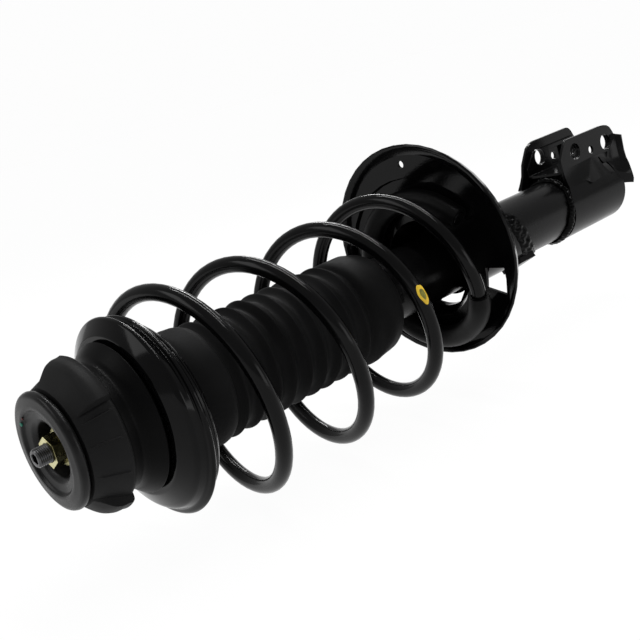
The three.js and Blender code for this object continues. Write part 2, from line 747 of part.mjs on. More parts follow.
// The same path with a straight length of one wire diameter at each end.
function withStraightEnds(points) {
  const out = [...points];
  const first = points[0].clone().sub(points[1]).setLength(2 * wireRadius);
  const last = points.at(-1).clone().sub(points.at(-2)).setLength(2 * wireRadius);
  out.unshift(points[0].clone().add(first));
  out.push(points.at(-1).clone().add(last));
  return out;
}

// Rings of points round a path, square to it and upright.
function ringsAlong(points, radius, sides) {
  const rings = [];
  const up = new THREE.Vector3(0, 0, 1);
  points.forEach((point, i) => {
    const tangent = points[Math.min(i + 1, points.length - 1)].clone()
      .sub(points[Math.max(i - 1, 0)]).normalize();
    const side = new THREE.Vector3().crossVectors(up, tangent).normalize();
    const rise = new THREE.Vector3().crossVectors(tangent, side);
    const around = [];
    for (let s = 0; s < sides; s += 1) {
      const angle = (2 * Math.PI * s) / sides;
      around.push(point.clone()
        .addScaledVector(side, radius * Math.cos(angle))
        .addScaledVector(rise, radius * Math.sin(angle)));
    }
    rings.push(around);
  });
  return rings;
}

// One closed skin over loops of points; each loop joins the next, and the ends are capped
// unless the loops close on themselves.
function skin(rings, closesOnItself) {
  const sides = rings[0].length;
  const positions = rings.flat().flatMap((p) => [p.x, p.y, p.z]);
  const index = [];
  const spans = closesOnItself ? rings.length : rings.length - 1;
  for (let r = 0; r < spans; r += 1) {
    const next = ((r + 1) % rings.length) * sides;
    for (let s = 0; s < sides; s += 1) {
      const a = r * sides + s;
      const b = r * sides + ((s + 1) % sides);
      const c = next + s;
      const d = next + ((s + 1) % sides);
      index.push(a, b, c, b, d, c);
    }
  }
  if (!closesOnItself) {
    const last = (rings.length - 1) * sides;
    for (let s = 1; s + 1 < sides; s += 1) {
      index.push(0, s + 1, s, last, last + s, last + s + 1);
    }
  }
  const geometry = new THREE.BufferGeometry();
  geometry.setAttribute('position', new THREE.Float32BufferAttribute(positions, 3));
  geometry.setIndex(index);
  return closed(geometry);
}

function leastSelfGap(points, radius) {
  const apart = Math.round(springStepsPerTurn / 2);
  let least = Infinity;
  for (let i = 0; i < points.length; i += 1) {
    for (let k = i + apart; k < points.length; k += 1) {
      least = Math.min(least, points[i].distanceTo(points[k]) - 2 * radius);
    }
  }
  return least;
}

function addSpring() {
  const path = withStraightEnds(springPath(springTurnStart, springTurnEnd));
  console.log(`coil spring, least gap between turns: ${leastSelfGap(path, wireRadius).toFixed(2)} mm`);
  add('coil_spring', skin(ringsAlong(path, wireRadius, wireSides), false), satinBlack);
  const mouth = 1 + Math.round((sleeveStart - springTurnStart) * springStepsPerTurn);
  const outside = ringsAlong(path, sleeveRadius, wireSides).slice(mouth);
  const inside = ringsAlong(path, wireRadius + seatGap, wireSides).slice(mouth).reverse();
  add('lower_insulator', skin([...outside, ...inside], true), mattRubber);
}

// ---------- lower spring pan ----------

function sector(place, low, high) {
  const shape = new THREE.Shape();
  const half = THREE.MathUtils.degToRad(place.spanDeg / 2);
  const middle = THREE.MathUtils.degToRad(place.angleDeg);
  shape.absarc(0, 0, place.outer, middle - half, middle + half, false);
  shape.absarc(0, 0, place.inner, middle + half, middle - half, true);
  const cut = new THREE.ExtrudeGeometry(shape, { depth: high - low, bevelEnabled: false, curveSegments: 6 });
  return closed(cut.translate(0, 0, low));
}

function addPan() {
  const shelf = -panLipDrop;
  const floor = shelf - grooveDrop;
  const lipInner = panRadius - panLipWidth;
  const tubeHole = tubeRadius + seatGap;
  const neck = tubeHole + 1.3 * panPlate;
  const hubLow = floor - hubDrop;
  const dish = toSolid(revolve([
    [0, floor - panPlate], [panRadius - 5, floor - panPlate], [panRadius - 2.6, shelf - panPlate],
    [panRadius - 1, -3], [panRadius, -1.6], [panRadius, -0.6], [panRadius - 1, 0], [panRadius - 3, -0.4],
    [lipInner, shelf], [0, shelf],
  ], 44));
  const groove = toSolid(revolve([
    [0, floor], [grooveRadius - 1.5, floor], [grooveRadius, shelf + 1], [grooveRadius, 2], [0, 2],
  ], 40)).translate(-panCentre.x, -panCentre.y, 0);
  const inside = toSolid(disc(panRadius - 3.4, floor - 1, 3, 44));
  const wellCut = toSolid(disc(hubRadius - 4, floor - 60, floor + 1, ringSegments));
  const well = toSolid(revolve([
    [tubeHole - 3, hubLow - collarHeight], [neck, hubLow - collarHeight], [neck, hubLow],
    [hubRadius, floor - panPlate], [hubRadius, floor], [hubRadius - 4.2, floor],
    [neck - 1, hubLow + panPlate], [tubeHole - 3, hubLow + panPlate],
  ])).translate(-panCentre.x, -panCentre.y, 0);
  const grooved = dish.subtract(groove.intersect(inside));
  const reliefLow = floor - panPlate - 1;
  const underside = disc(panRadius - panLipWidth, reliefLow, shelf - panPlate);
  const ribbed = disc(grooveRadius + panPlate, reliefLow - 1, shelf).translate(-panCentre.x, -panCentre.y, 0);
  const relief = toSolid(underside).subtract(toSolid(ribbed));
  let pan = grooved.subtract(relief).subtract(wellCut.translate(-panCentre.x, -panCentre.y, 0)).add(well);
  const lean = new THREE.Matrix4().makeRotationFromEuler(new THREE.Euler(-panLeanY, panLeanX, 0));
  lean.setPosition(panCentre.x, panCentre.y, panRimLevel);
  pan = pan.transform(lean.elements);
  const deep = panRimLevel - 120;
  const top = panRimLevel + 40;
  pan = pan.subtract(toSolid(disc(tubeHole, deep, top)));
  pan = pan.subtract(toSolid(sector(windowLarge, panRimLevel - 30, top)));
  pan = pan.subtract(toSolid(sector(windowSmall, panRimLevel - 60, top)));
  const drain = disc(drainHole.radius, panRimLevel - 30, top, 12).translate(drainHole.x, drainHole.y, 0);
  pan = pan.subtract(toSolid(drain));
  add('lower_spring_seat', pan, glossBlack);
}

function addSaddle() {
  const inner = tubeRadius + seatGap;
  const collarLow = panRimLevel - panLipDrop - grooveDrop - hubDrop - collarHeight;
  const saddleTop = collarLow - saddleClearance;
  const reach = 60;
  const band = toSolid(ring(inner, inner + saddleWall, saddleEdge - reach / 2, saddleTop));
  const below = toSolid(sidePrism([
    [-reach, saddleEdge - reach * saddleSlope], [reach, saddleEdge + reach * saddleSlope],
    [reach, saddleEdge - 2 * reach], [-reach, saddleEdge - 2 * reach],
  ], -reach, reach));
  add('seat_saddle', band.subtract(below), satinBlack);
  const tabLow = tabTop - tabLength;
  const face = tubeRadius + tabReach;
  const plate = toSolid(box(face - 8, face, -tabWidth / 2, tabWidth / 2, tabLow, tabTop));
  const turned = plate.rotate(0, 0, tabAngleDeg);
  const wrap = toSolid(disc(inner + saddleWall + seatGap, tabLow - 1, tabTop + 1));
  add('hose_tab', turned.subtract(wrap), satinBlack);
}

// ---------- knuckle bracket ----------

const wrapInner = tubeRadius + seatGap;
const wrapOuter = wrapInner + plateThickness;
const earInnerFace = earOuterFace - plateThickness;
const upperBoltLevel = boltSpacing / 2;
const lowerBoltLevel = -boltSpacing / 2;

function boltHoles(x0, x1) {
  return toSolid(crossBar(boltHoleRadius, upperBoltOffset, upperBoltLevel, x0, x1))
    .add(toSolid(crossBar(boltHoleRadius, lowerBoltOffset, lowerBoltLevel, x0, x1)))
    .add(toSolid(crossBar(smallHoleRadius, smallHoleOffset, 0, x0, x1)));
}

function addKnuckleBracket() {
  const blend = THREE.MathUtils.degToRad(blendDeg);
  const blendX = wrapOuter * Math.cos(blend);
  const blendY = wrapOuter * Math.sin(blend);
  const bend = blendY + (blendX - earOuterFace) / Math.tan(blend);
  const innerY = Math.sqrt(wrapInner ** 2 - earInnerFace ** 2);
  const innerStart = Math.atan2(innerY, earInnerFace);
  const section = new THREE.Shape();
  section.moveTo(earOuterFace, earTip + 1);
  section.lineTo(earInnerFace, earTip + 1);
  section.lineTo(earInnerFace, innerY);
  section.absarc(0, 0, wrapInner, innerStart, Math.PI - innerStart, true);
  section.lineTo(-earInnerFace, earTip + 1);
  section.lineTo(-earOuterFace, earTip + 1);
  const curve = [0.25, 0.5, 0.75, 1].map((t) => [
    (1 - t) ** 2 * blendX + (1 - (1 - t) ** 2) * earOuterFace,
    (1 - t) ** 2 * blendY + 2 * t * (1 - t) * bend + t ** 2 * blendEnd,
  ]);
  curve.slice().reverse().forEach(([x, y]) => section.lineTo(-x, y));
  section.absarc(0, 0, wrapOuter, Math.PI - blend, 2 * Math.PI + blend, false);
  curve.forEach(([x, y]) => section.lineTo(x, y));
  const length = bracketTop - bracketBottom + 30;
  const bar = new THREE.ExtrudeGeometry(section, { depth: length, bevelEnabled: false, curveSegments: 25 });
  bar.translate(0, 0, bracketBottom - 5);
  const profile = new THREE.Shape();
  profile.moveTo(-wrapOuter - 2, bracketTop - 8.5);
  profile.lineTo(6, bracketTop - 8.5);
  profile.lineTo(17, bracketTop - 12.6);
  profile.lineTo(22, bracketTop - 2);
  profile.lineTo(33, bracketTop - 9);
  profile.lineTo(42.6, bracketTop - 12.4);
  profile.lineTo(48.7, bracketTop - 17);
  profile.lineTo(earTip - 4.5, bracketTop - 22);
  profile.quadraticCurveTo(earTip, bracketTop - 28, earTip, bracketTop - 36);
  profile.lineTo(earTip, bracketBottom + earCorner + 5);
  profile.quadraticCurveTo(earTip - 1, bracketBottom + earCorner, earTip - earCorner, bracketBottom + 4.5);
  profile.lineTo(45, bracketBottom + 0.8);
  profile.lineTo(41, bracketBottom + 5);
  profile.lineTo(35.5, bracketBottom + 14);
  profile.lineTo(28, bracketBottom + 18.5);
  profile.quadraticCurveTo(23.5, bracketBottom + 20, 24, bracketBottom + 25);
  profile.lineTo(31.5, bracketBottom + 30.2);
  profile.lineTo(31, bracketBottom + 31.4);
  profile.lineTo(22, bracketBottom + 25.8);
  profile.lineTo(15.5, bracketBottom + 21.5);
  profile.lineTo(13.2, bracketBottom + 22);
  profile.lineTo(14.5, bracketBottom + 18.5);
  profile.lineTo(12.8, bracketBottom + 14.6);
  profile.lineTo(9.1, bracketBottom + 11.9);
  profile.lineTo(3, wrapBottom);
  profile.lineTo(-wrapOuter - 2, wrapBottom + 2);
  const side = sidePrism(profile.getPoints(4).map((p) => [p.x, p.y]), -40, 40);
  let bracket = toSolid(bar).intersect(toSolid(side));
  bracket = bracket.add(edgeFlange(1)).add(edgeFlange(-1)).add(earDart(1)).add(earDart(-1));
  const nearCut = sidePrism([
    [16.5, nearEarTop - 0.6], [42, nearEarTop + 0.6], [42, bracketTop + 20], [16.5, bracketTop + 20],
  ], 8, 40);
  bracket = bracket.subtract(toSolid(nearCut));
  const nearTip = earTip - nearEarTrim;
  const trim = sidePrism([
    [nearTip, bracketTop + 5], [nearTip, bracketBottom + 20], [nearTip - 0.5, bracketBottom + 14],
    [nearTip - 1.8, bracketBottom + 9], [nearTip - 4.2, bracketBottom + 5.2],
    [nearTip - 7.5, bracketBottom + 3], [nearTip - 12, bracketBottom + 0.5],
    [nearTip - 12, bracketBottom - 5], [earTip + 5, bracketBottom - 5], [earTip + 5, bracketTop + 5],
  ], earInnerFace - 1, earOuterFace + 0.4);
  bracket = bracket.subtract(toSolid(trim)).subtract(cornerSlit()).subtract(boltHoles(-40, 40));
  add('knuckle_bracket', bracket, glossBlack);
}

// The ear's lower edge flared outwards and round to the wrap, on the side given by its sign.
function edgeFlange(sign) {
  const ear = earOuterFace - plateThickness / 2;
  const rim = flangeLevel;
  const stations = [
    [[ear, 46.5, rim + 3.2], [ear + 0.4, 46, rim + 1.6], [23.5, 45, rim + 0.4], [28.8, 43.4, rim]],
    [[ear, 36, rim + 14.2], [ear + 0.4, 35.2, rim + 9], [23.2, 33.5, rim + 2.6], [28.9, 30, rim]],
    [[ear, 29, rim + 18.4], [ear + 0.6, 27.5, rim + 11], [24, 25.5, rim + 3.4], [29.6, 23, rim]],
    [[ear + 0.4, 24, rim + 18.2], [22, 22.5, rim + 11], [25.5, 20.5, rim + 3.4], [31, 17.8, rim - 0.2]],
    [[22.5, 19, rim + 15], [24, 18, rim + 11], [28, 16, rim + 5.2], [32, 13, rim + 0.6]],
    [[24.2, 13.5, rim + 13.4], [26.5, 12.5, rim + 11.4], [30.2, 10.5, rim + 7.4], [33, 8, rim + 1.2]],
    [[26, 8, rim + 10.4], [27.8, 7, rim + 8.6], [30.6, 6, rim + 5], [33, 3.5, rim + 0.4]],
    [[26.8, 1.5, rim + 8.2], [28.5, 1, rim + 6], [30, 0.3, rim + 2.8], [31.5, -0.5, rim]],
  ];
  const flange = sheet(stations.map((row) => row.map(([x, y, z]) => new THREE.Vector3(sign * x, y, z))));
  return flange.subtract(toSolid(disc(wrapInner + 0.1, rim - 5, rim + 30)));
}

// A plate of even thickness whose middle surface runs through a grid of points.
function sheet(grid) {
  const rows = grid.length;
  const columns = grid[0].length;
  const at = (i, j) => grid[THREE.MathUtils.clamp(i, 0, rows - 1)][THREE.MathUtils.clamp(j, 0, columns - 1)];
  const layers = [1, -1].map((side) => grid.map((row, i) => row.map((point, j) => {
    const down = at(i + 1, j).clone().sub(at(i - 1, j));
    const across = at(i, j + 1).clone().sub(at(i, j - 1));
    const normal = down.cross(across).normalize();
    return point.clone().addScaledVector(normal, side * flangeThickness / 2);
  })));
  const cells = [];
  for (let i = 0; i + 1 < rows; i += 1) {
    for (let j = 0; j + 1 < columns; j += 1) {
      const corners = layers.flatMap((layer) => [
        layer[i][j], layer[i + 1][j], layer[i][j + 1], layer[i + 1][j + 1],
      ]);
      cells.push(hullOf(corners.map((corner) => corner.toArray())));
    }
  }
  return cells.reduce((joined, cell) => joined.add(cell));
}

// A stamped dart that stiffens the ear where it meets the wrap.
function earDart(sign) {
  const face = earOuterFace - 0.8;
  const ridge = earOuterFace + dartHeight;
  const corners = [
    [face, 37, 0.4], [face, 22.3, 25.4], [face, 12, 16], [ridge, 13.6, 14.8], [earOuterFace + 3.2, 15, -9],
    [earOuterFace + 0.3, 28, -6.5], [face, 15, -9], [face, 29, -7],
  ];
  const dart = hullOf(corners.map(([x, y, z]) => [sign * x, y, z]));
  return dart.subtract(toSolid(disc(wrapInner + 0.8, flangeLevel, bracketTop)));
}

// The slit between the ear's lower tongue and the wrap, open to its corner.
function cornerSlit() {
  const slit = toSolid(sidePrism([
    [31.5, -9.2], [31, -7.4], [22, -12.4], [15.2, -16.6], [13.2, -16.6], [14.3, -20], [19, -20], [24, -13.6],
  ], earInnerFace - 4, 40));
  return slit.add(slit.mirror([1, 0, 0]));
}

function hullOf(points) {
  return wasm.Manifold.hull(points);
}

function addBracketInsert() {
  const face = earInnerFace - seatGap;
  const inner = face - insertPlate;
  const section = new THREE.Shape();
  section.moveTo(-face, insertTip);
  section.lineTo(-face, insertWeb + 2);
  section.lineTo(-face + 2, insertWeb);
  section.lineTo(face - 2, insertWeb);
  section.lineTo(face, insertWeb + 2);
  section.lineTo(face, insertTip);
  section.lineTo(inner, insertTip);
  section.lineTo(inner, insertWeb + insertPlate);
  section.lineTo(-inner, insertWeb + insertPlate);
  section.lineTo(-inner, insertTip);
  const bar = new THREE.ExtrudeGeometry(section, { depth: insertTop - insertBottom, bevelEnabled: false });
  const through = 30; // past the flanks on both sides
  const window = toSolid(box(-through, through, windowNear, windowFar, windowBottom, windowTop));
  const channel = toSolid(bar.translate(0, 0, insertBottom));
  const insert = channel.subtract(boltHoles(-through, through)).subtract(window);
  const corner = 14;
  const slope = sidePrism([
    [insertWeb - 1, insertBottom - 1], [insertTip + 1, insertBottom - 1], [insertTip + 1, insertTop - corner],
    [insertTip - corner, insertTop + 1], [insertWeb - 1, insertTop + 1],
  ], -30, 30);
  add('bracket_insert', insert.intersect(toSolid(slope)), satinBlack);
}

addTube();
addFootValve();
addHeadSet();
addRod();
addPiston();
addBumpParts();
addStudHardware();
addMountDisc();
addMountRubber();
addBearing();
addUpperSeat();
addBoot();
addSpring();
addPan();
addSaddle();
addKnuckleBracket();
addBracketInsert();

export default assembly;
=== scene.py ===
import math

import bmesh
import bpy
import numpy as np
from mathutils import Matrix, Vector


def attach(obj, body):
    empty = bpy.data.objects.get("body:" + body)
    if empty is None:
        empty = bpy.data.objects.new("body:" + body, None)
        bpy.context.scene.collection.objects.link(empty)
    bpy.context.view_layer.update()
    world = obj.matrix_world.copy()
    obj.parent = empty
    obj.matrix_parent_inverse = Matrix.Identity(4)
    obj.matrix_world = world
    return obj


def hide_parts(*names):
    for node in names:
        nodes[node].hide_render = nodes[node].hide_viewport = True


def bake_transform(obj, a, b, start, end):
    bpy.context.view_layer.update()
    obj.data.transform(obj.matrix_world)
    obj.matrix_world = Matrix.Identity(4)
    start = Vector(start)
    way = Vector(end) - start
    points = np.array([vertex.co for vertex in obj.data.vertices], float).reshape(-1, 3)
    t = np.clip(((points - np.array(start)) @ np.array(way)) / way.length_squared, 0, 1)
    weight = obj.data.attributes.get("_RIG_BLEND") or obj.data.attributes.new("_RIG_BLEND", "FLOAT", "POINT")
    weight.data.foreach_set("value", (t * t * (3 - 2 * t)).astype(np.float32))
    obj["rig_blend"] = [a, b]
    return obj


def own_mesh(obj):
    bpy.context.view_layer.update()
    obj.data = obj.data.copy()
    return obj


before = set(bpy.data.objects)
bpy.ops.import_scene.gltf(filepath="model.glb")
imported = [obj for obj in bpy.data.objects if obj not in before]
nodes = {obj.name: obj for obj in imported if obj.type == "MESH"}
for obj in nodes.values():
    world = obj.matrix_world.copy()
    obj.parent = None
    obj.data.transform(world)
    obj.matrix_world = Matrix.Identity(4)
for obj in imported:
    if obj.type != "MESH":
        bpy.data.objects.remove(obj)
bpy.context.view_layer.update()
mm = 0.001
print("stage: frame loaded")


def placed(name, data):
    thing = bpy.data.objects.new(name, data)
    bpy.context.scene.collection.objects.link(thing)
    return thing


# the photo's own viewpoint in millimetres, with the three directions of its picture
camera = {
    "at": (563.9, 164.8, 770.6),
    "right": (0.6422, -0.2657, -0.719),
    "up": (0.0, 0.938, -0.3466),
    "forward": (-0.7665, -0.2226, -0.6024),
    "lensMm": 57.94,
    "nearest": 0.01, "farthest": 50,  # metres
}
lens = bpy.data.cameras.new("photoCamera")
lens.lens = camera["lensMm"]
lens.clip_start = camera["nearest"]
lens.clip_end = camera["farthest"]
eye = placed("photoCamera", lens)
eye.matrix_world = Matrix((
    (camera["right"][0], camera["up"][0], -camera["forward"][0], camera["at"][0] * mm),
    (camera["right"][1], camera["up"][1], -camera["forward"][1], camera["at"][1] * mm),
    (camera["right"][2], camera["up"][2], -camera["forward"][2], camera["at"][2] * mm),
    (0, 0, 0, 1),
))
bpy.context.scene.camera = eye
bpy.context.scene.view_settings.view_transform = "Standard"


def newMaterial(name):
    material = bpy.data.materials.new(name)
    material.use_nodes = True
    tree = material.node_tree
    shader = tree.nodes["Principled BSDF"]
    return material, tree, shader


def noise(tree, scale, detail=4.0, roughness=0.55):
    place = tree.nodes.new("ShaderNodeTexCoord")
    texture = tree.nodes.new("ShaderNodeTexNoise")
    texture.inputs["Scale"].default_value = scale
    texture.inputs["Detail"].default_value = detail
    texture.inputs["Roughness"].default_value = roughness
    tree.links.new(place.outputs["Object"], texture.inputs["Vector"])
    return texture


def spread(tree, source, low, high, inLow=0.3, inHigh=0.7):
    span = tree.nodes.new("ShaderNodeMapRange")
    span.inputs["From Min"].default_value = inLow
    span.inputs["From Max"].default_value = inHigh
    span.inputs["To Min"].default_value = low
    span.inputs["To Max"].default_value = high
    tree.links.new(source, span.inputs["Value"])
    return span.outputs["Result"]


def tinted(tree, factor, dark, light):
    mix = tree.nodes.new("ShaderNodeMix")
    mix.data_type = "RGBA"
    mix.inputs["A"].default_value = (*dark, 1)
    mix.inputs["B"].default_value = (*light, 1)
    tree.links.new(factor, mix.inputs["Factor"])
    return mix.outputs["Result"]


def bump(tree, shader, heights, distance):
    last = None
    for source, strength in heights:
        node = tree.nodes.new("ShaderNodeBump")
        node.inputs["Strength"].default_value = strength
        node.inputs["Distance"].default_value = distance
        tree.links.new(source, node.inputs["Height"])
        if last:
            tree.links.new(last, node.inputs["Normal"])
        last = node.outputs["Normal"]
    tree.links.new(last, shader.inputs["Normal"])


# one recipe for every finish: a broad noise mottles colour and gloss, a fine one roughens the skin
def surface(look):
    material, tree, shader = newMaterial(look["name"])
    broad = noise(tree, look["broadScale"], 5)
    fine = noise(tree, look["fineScale"], 3)
    mottle = spread(tree, broad.outputs["Fac"], 0, 1)
    color = tinted(tree, mottle, look["dark"], look["light"])
    tree.links.new(color, shader.inputs["Base Color"])
    rough = spread(tree, broad.outputs["Fac"], look["roughLow"], look["roughHigh"])
    tree.links.new(rough, shader.inputs["Roughness"])
    shader.inputs["Metallic"].default_value = look["metallic"]
    shader.inputs["Specular IOR Level"].default_value = look["specular"]
    heights = [(fine.outputs["Fac"], look["fineBump"]), (broad.outputs["Fac"], look["broadBump"])]
    bump(tree, shader, heights, look["bumpDepth"] * mm)
    return material


glossPaint = surface({
    "name": "glossPaint", "dark": (0.001, 0.001, 0.0011), "light": (0.0022, 0.0022, 0.0024),
    "roughLow": 0.05, "roughHigh": 0.1, "metallic": 0, "specular": 0.14,
    "broadScale": 26, "fineScale": 900, "fineBump": 0.08, "broadBump": 0.07, "bumpDepth": 0.4,
})
weldPaint = surface({
    "name": "weldPaint", "dark": (0.0004, 0.0004, 0.0004), "light": (0.0009, 0.0009, 0.001),
    "roughLow": 0.07, "roughHigh": 0.13, "metallic": 0, "specular": 0.05,
    "broadScale": 60, "fineScale": 900, "fineBump": 0.06, "broadBump": 0.2, "bumpDepth": 0.5,
})
bracketPaint = surface({
    "name": "bracketPaint", "dark": (0.001, 0.001, 0.0011), "light": (0.0024, 0.0024, 0.0026),
    "roughLow": 0.14, "roughHigh": 0.24, "metallic": 0, "specular": 0.13,
    "broadScale": 30, "fineScale": 900, "fineBump": 0.1, "broadBump": 0.12, "bumpDepth": 0.4,
})
dishPaint = surface({
    "name": "dishPaint", "dark": (0.001, 0.001, 0.0011), "light": (0.002, 0.002, 0.0022),
    "roughLow": 0.08, "roughHigh": 0.13, "metallic": 0, "specular": 0.115,
    "broadScale": 60, "fineScale": 500, "fineBump": 0.02, "broadBump": 0.03, "bumpDepth": 0.5,
})
satinPaint = surface({
    "name": "satinPaint", "dark": (0.0014, 0.0014, 0.0015), "light": (0.003, 0.003, 0.0032),
    "roughLow": 0.2, "roughHigh": 0.3, "metallic": 0, "specular": 0.14,
    "broadScale": 22, "fineScale": 1200, "fineBump": 0.16, "broadBump": 0.05, "bumpDepth": 0.35,
})
springPaint = surface({
    "name": "springPaint", "dark": (0.0011, 0.0011, 0.0012), "light": (0.0022, 0.0022, 0.0023),
    "roughLow": 0.12, "roughHigh": 0.19, "metallic": 0, "specular": 0.13,
    "broadScale": 30, "fineScale": 1500, "fineBump": 0.08, "broadBump": 0.04, "bumpDepth": 0.3,
})
rubberBlack = surface({
    "name": "rubberBlack", "dark": (0.0045, 0.0045, 0.0046), "light": (0.0098, 0.0098, 0.01),
    "roughLow": 0.5, "roughHigh": 0.68, "metallic": 0, "specular": 0.11,
    "broadScale": 34, "fineScale": 1800, "fineBump": 0.25, "broadBump": 0.15, "bumpDepth": 0.3,
})
sleeveRubber = surface({
    "name": "sleeveRubber", "dark": (0.0014, 0.0014, 0.0015), "light": (0.003, 0.003, 0.0031),
    "roughLow": 0.36, "roughHigh": 0.5, "metallic": 0, "specular": 0.07,
    "broadScale": 34, "fineScale": 1800, "fineBump": 0.2, "broadBump": 0.12, "bumpDepth": 0.3,
})
bootRubber = surface({
    "name": "bootRubber", "dark": (0.0038, 0.0038, 0.0039), "light": (0.0078, 0.0078, 0.008),
    "roughLow": 0.48, "roughHigh": 0.62, "metallic": 0, "specular": 0.035,
    "broadScale": 18, "fineScale": 1500, "fineBump": 0.2, "broadBump": 0.12, "bumpDepth": 0.3,
})
mouldedNylon = surface({
    "name": "mouldedNylon", "dark": (0.0011, 0.0011, 0.0012), "light": (0.0024, 0.0024, 0.0025),
    "roughLow": 0.36, "roughHigh": 0.48, "metallic": 0, "specular": 0.05,
    "broadScale": 20, "fineScale": 1400, "fineBump": 0.16, "broadBump": 0.06, "bumpDepth": 0.25,
})
discPaint = surface({
    "name": "discPaint", "dark": (0.0015, 0.0015, 0.0016), "light": (0.0085, 0.0085, 0.0087),
    "roughLow": 0.24, "roughHigh": 0.38, "metallic": 0, "specular": 0.16,
    "broadScale": 75, "fineScale": 1300, "fineBump": 0.22, "broadBump": 0.12, "bumpDepth": 0.3,
})
bareSteel = surface({
    "name": "bareSteel", "dark": (0.3, 0.3, 0.31), "light": (0.5, 0.5, 0.51),
    "roughLow": 0.22, "roughHigh": 0.38, "metallic": 1, "specular": 0.5,
    "broadScale": 60, "fineScale": 1600, "fineBump": 0.15, "broadBump": 0.05, "bumpDepth": 0.2,
})
darkSteel = surface({
    "name": "darkSteel", "dark": (0.05, 0.05, 0.052), "light": (0.11, 0.11, 0.112),
    "roughLow": 0.22, "roughHigh": 0.36, "metallic": 1, "specular": 0.5,
    "broadScale": 60, "fineScale": 1600, "fineBump": 0.12, "broadBump": 0.05, "bumpDepth": 0.2,
})
chromed = surface({
    "name": "chromed", "dark": (0.55, 0.55, 0.57), "light": (0.7, 0.7, 0.72),
    "roughLow": 0.05, "roughHigh": 0.12, "metallic": 1, "specular": 0.5,
    "broadScale": 40, "fineScale": 1600, "fineBump": 0.03, "broadBump": 0.02, "bumpDepth": 0.1,
})
zincYellow = surface({
    "name": "zincYellow", "dark": (0.42, 0.36, 0.12), "light": (0.72, 0.7, 0.42),
    "roughLow": 0.18, "roughHigh": 0.32, "metallic": 1, "specular": 0.5,
    "broadScale": 90, "fineScale": 1400, "fineBump": 0.08, "broadBump": 0.05, "bumpDepth": 0.2,
})
sintered = surface({
    "name": "sintered", "dark": (0.12, 0.115, 0.11), "light": (0.2, 0.19, 0.18),
    "roughLow": 0.5, "roughHigh": 0.7, "metallic": 0.8, "specular": 0.5,
    "broadScale": 120, "fineScale": 2000, "fineBump": 0.3, "broadBump": 0.1, "bumpDepth": 0.3,
})
bronze = surface({
    "name": "bronze", "dark": (0.3, 0.17, 0.07), "light": (0.45, 0.26, 0.1),
    "roughLow": 0.3, "roughHigh": 0.45, "metallic": 1, "specular": 0.5,
    "broadScale": 80, "fineScale": 1500, "fineBump": 0.1, "broadBump": 0.05, "bumpDepth": 0.2,
})
tanFoam = surface({
    "name": "tanFoam", "dark": (0.32, 0.26, 0.13), "light": (0.5, 0.42, 0.24),
    "roughLow": 0.8, "roughHigh": 0.95, "metallic": 0, "specular": 0.3,
    "broadScale": 70, "fineScale": 900, "fineBump": 0.6, "broadBump": 0.2, "bumpDepth": 0.6,
})


def markPaint(name, dark, light, broadScale):
    return surface({
        "name": name, "dark": dark, "light": light,
        "roughLow": 0.5, "roughHigh": 0.65, "metallic": 0, "specular": 0.3,
        "broadScale": broadScale, "fineScale": 1500,
        "fineBump": 0.2, "broadBump": 0.1, "bumpDepth": 0.1,
    })


markYellow = markPaint("markYellow", (0.62, 0.4, 0.02), (0.8, 0.55, 0.04), 120)
markOlive = markPaint("markOlive", (0.05, 0.06, 0.01), (0.24, 0.22, 0.03), 420)
markGreen = markPaint("markGreen", (0.01, 0.12, 0.08), (0.02, 0.2, 0.14), 300)
markRed = markPaint("markRed", (0.05, 0.008, 0.008), (0.1, 0.02, 0.02), 300)
print("stage: materials made")

# the finish of each solid, also of those that a visible piece stands in for
looks = {
    "strut_tube": satinPaint, "tube_bottom_cap": satinPaint, "pressure_tube": bareSteel,
    "base_valve_body": sintered, "base_valve_disc": bareSteel, "rod_guide": sintered,
    "guide_bush": bronze, "rod_seal": rubberBlack, "tube_closure": satinPaint,
    "piston_rod": chromed, "piston": sintered, "piston_band": mouldedNylon,
    "compression_shims": bareSteel, "rebound_shims": bareSteel, "piston_nut": bareSteel,
    "rebound_stop": mouldedNylon, "bump_cap": satinPaint, "bump_stop": tanFoam,
    "rod_nut": zincYellow, "nut_washer": zincYellow, "mount_top_disc": discPaint,
    "mount_rubber": rubberBlack, "mount_core": bareSteel, "bearing_cover": mouldedNylon,
    "bearing_upper_race": bareSteel, "bearing_lower_race": bareSteel, "ball_cage": mouldedNylon,
    "upper_spring_seat": glossPaint, "upper_insulator": rubberBlack, "dust_boot": bootRubber,
    "coil_spring": springPaint, "lower_insulator": sleeveRubber, "lower_spring_seat": glossPaint,
    "seat_saddle": satinPaint, "hose_tab": satinPaint, "knuckle_bracket": glossPaint,
    "bracket_insert": glossPaint,
}
for name, node in nodes.items():
    look = chromed if name.startswith("bearing_ball") else looks[name]
    node.data.materials.clear()
    node.data.materials.append(look)

mergeDistance = 1e-6


# points are in millimetres; body is None where the piece is blended between two bodies instead
def piece(name, points, faces, material, body, instead=(), sharpDeg=40):
    mesh = bpy.data.meshes.new(name)
    mesh.from_pydata([tuple(c * mm for c in p) for p in points], [], faces)
    made = bmesh.new()
    made.from_mesh(mesh)
    bmesh.ops.remove_doubles(made, verts=made.verts, dist=mergeDistance)
    bmesh.ops.recalc_face_normals(made, faces=made.faces)
    made.to_mesh(mesh)
    made.free()
    mesh.polygons.foreach_set("use_smooth", [True] * len(mesh.polygons))
    mesh.set_sharp_from_angle(angle=math.radians(sharpDeg))
    mesh.materials.append(material)
    thing = placed(name, mesh)
    if instead:
        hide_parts(*instead)
    if body:
        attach(thing, body)
    return thing


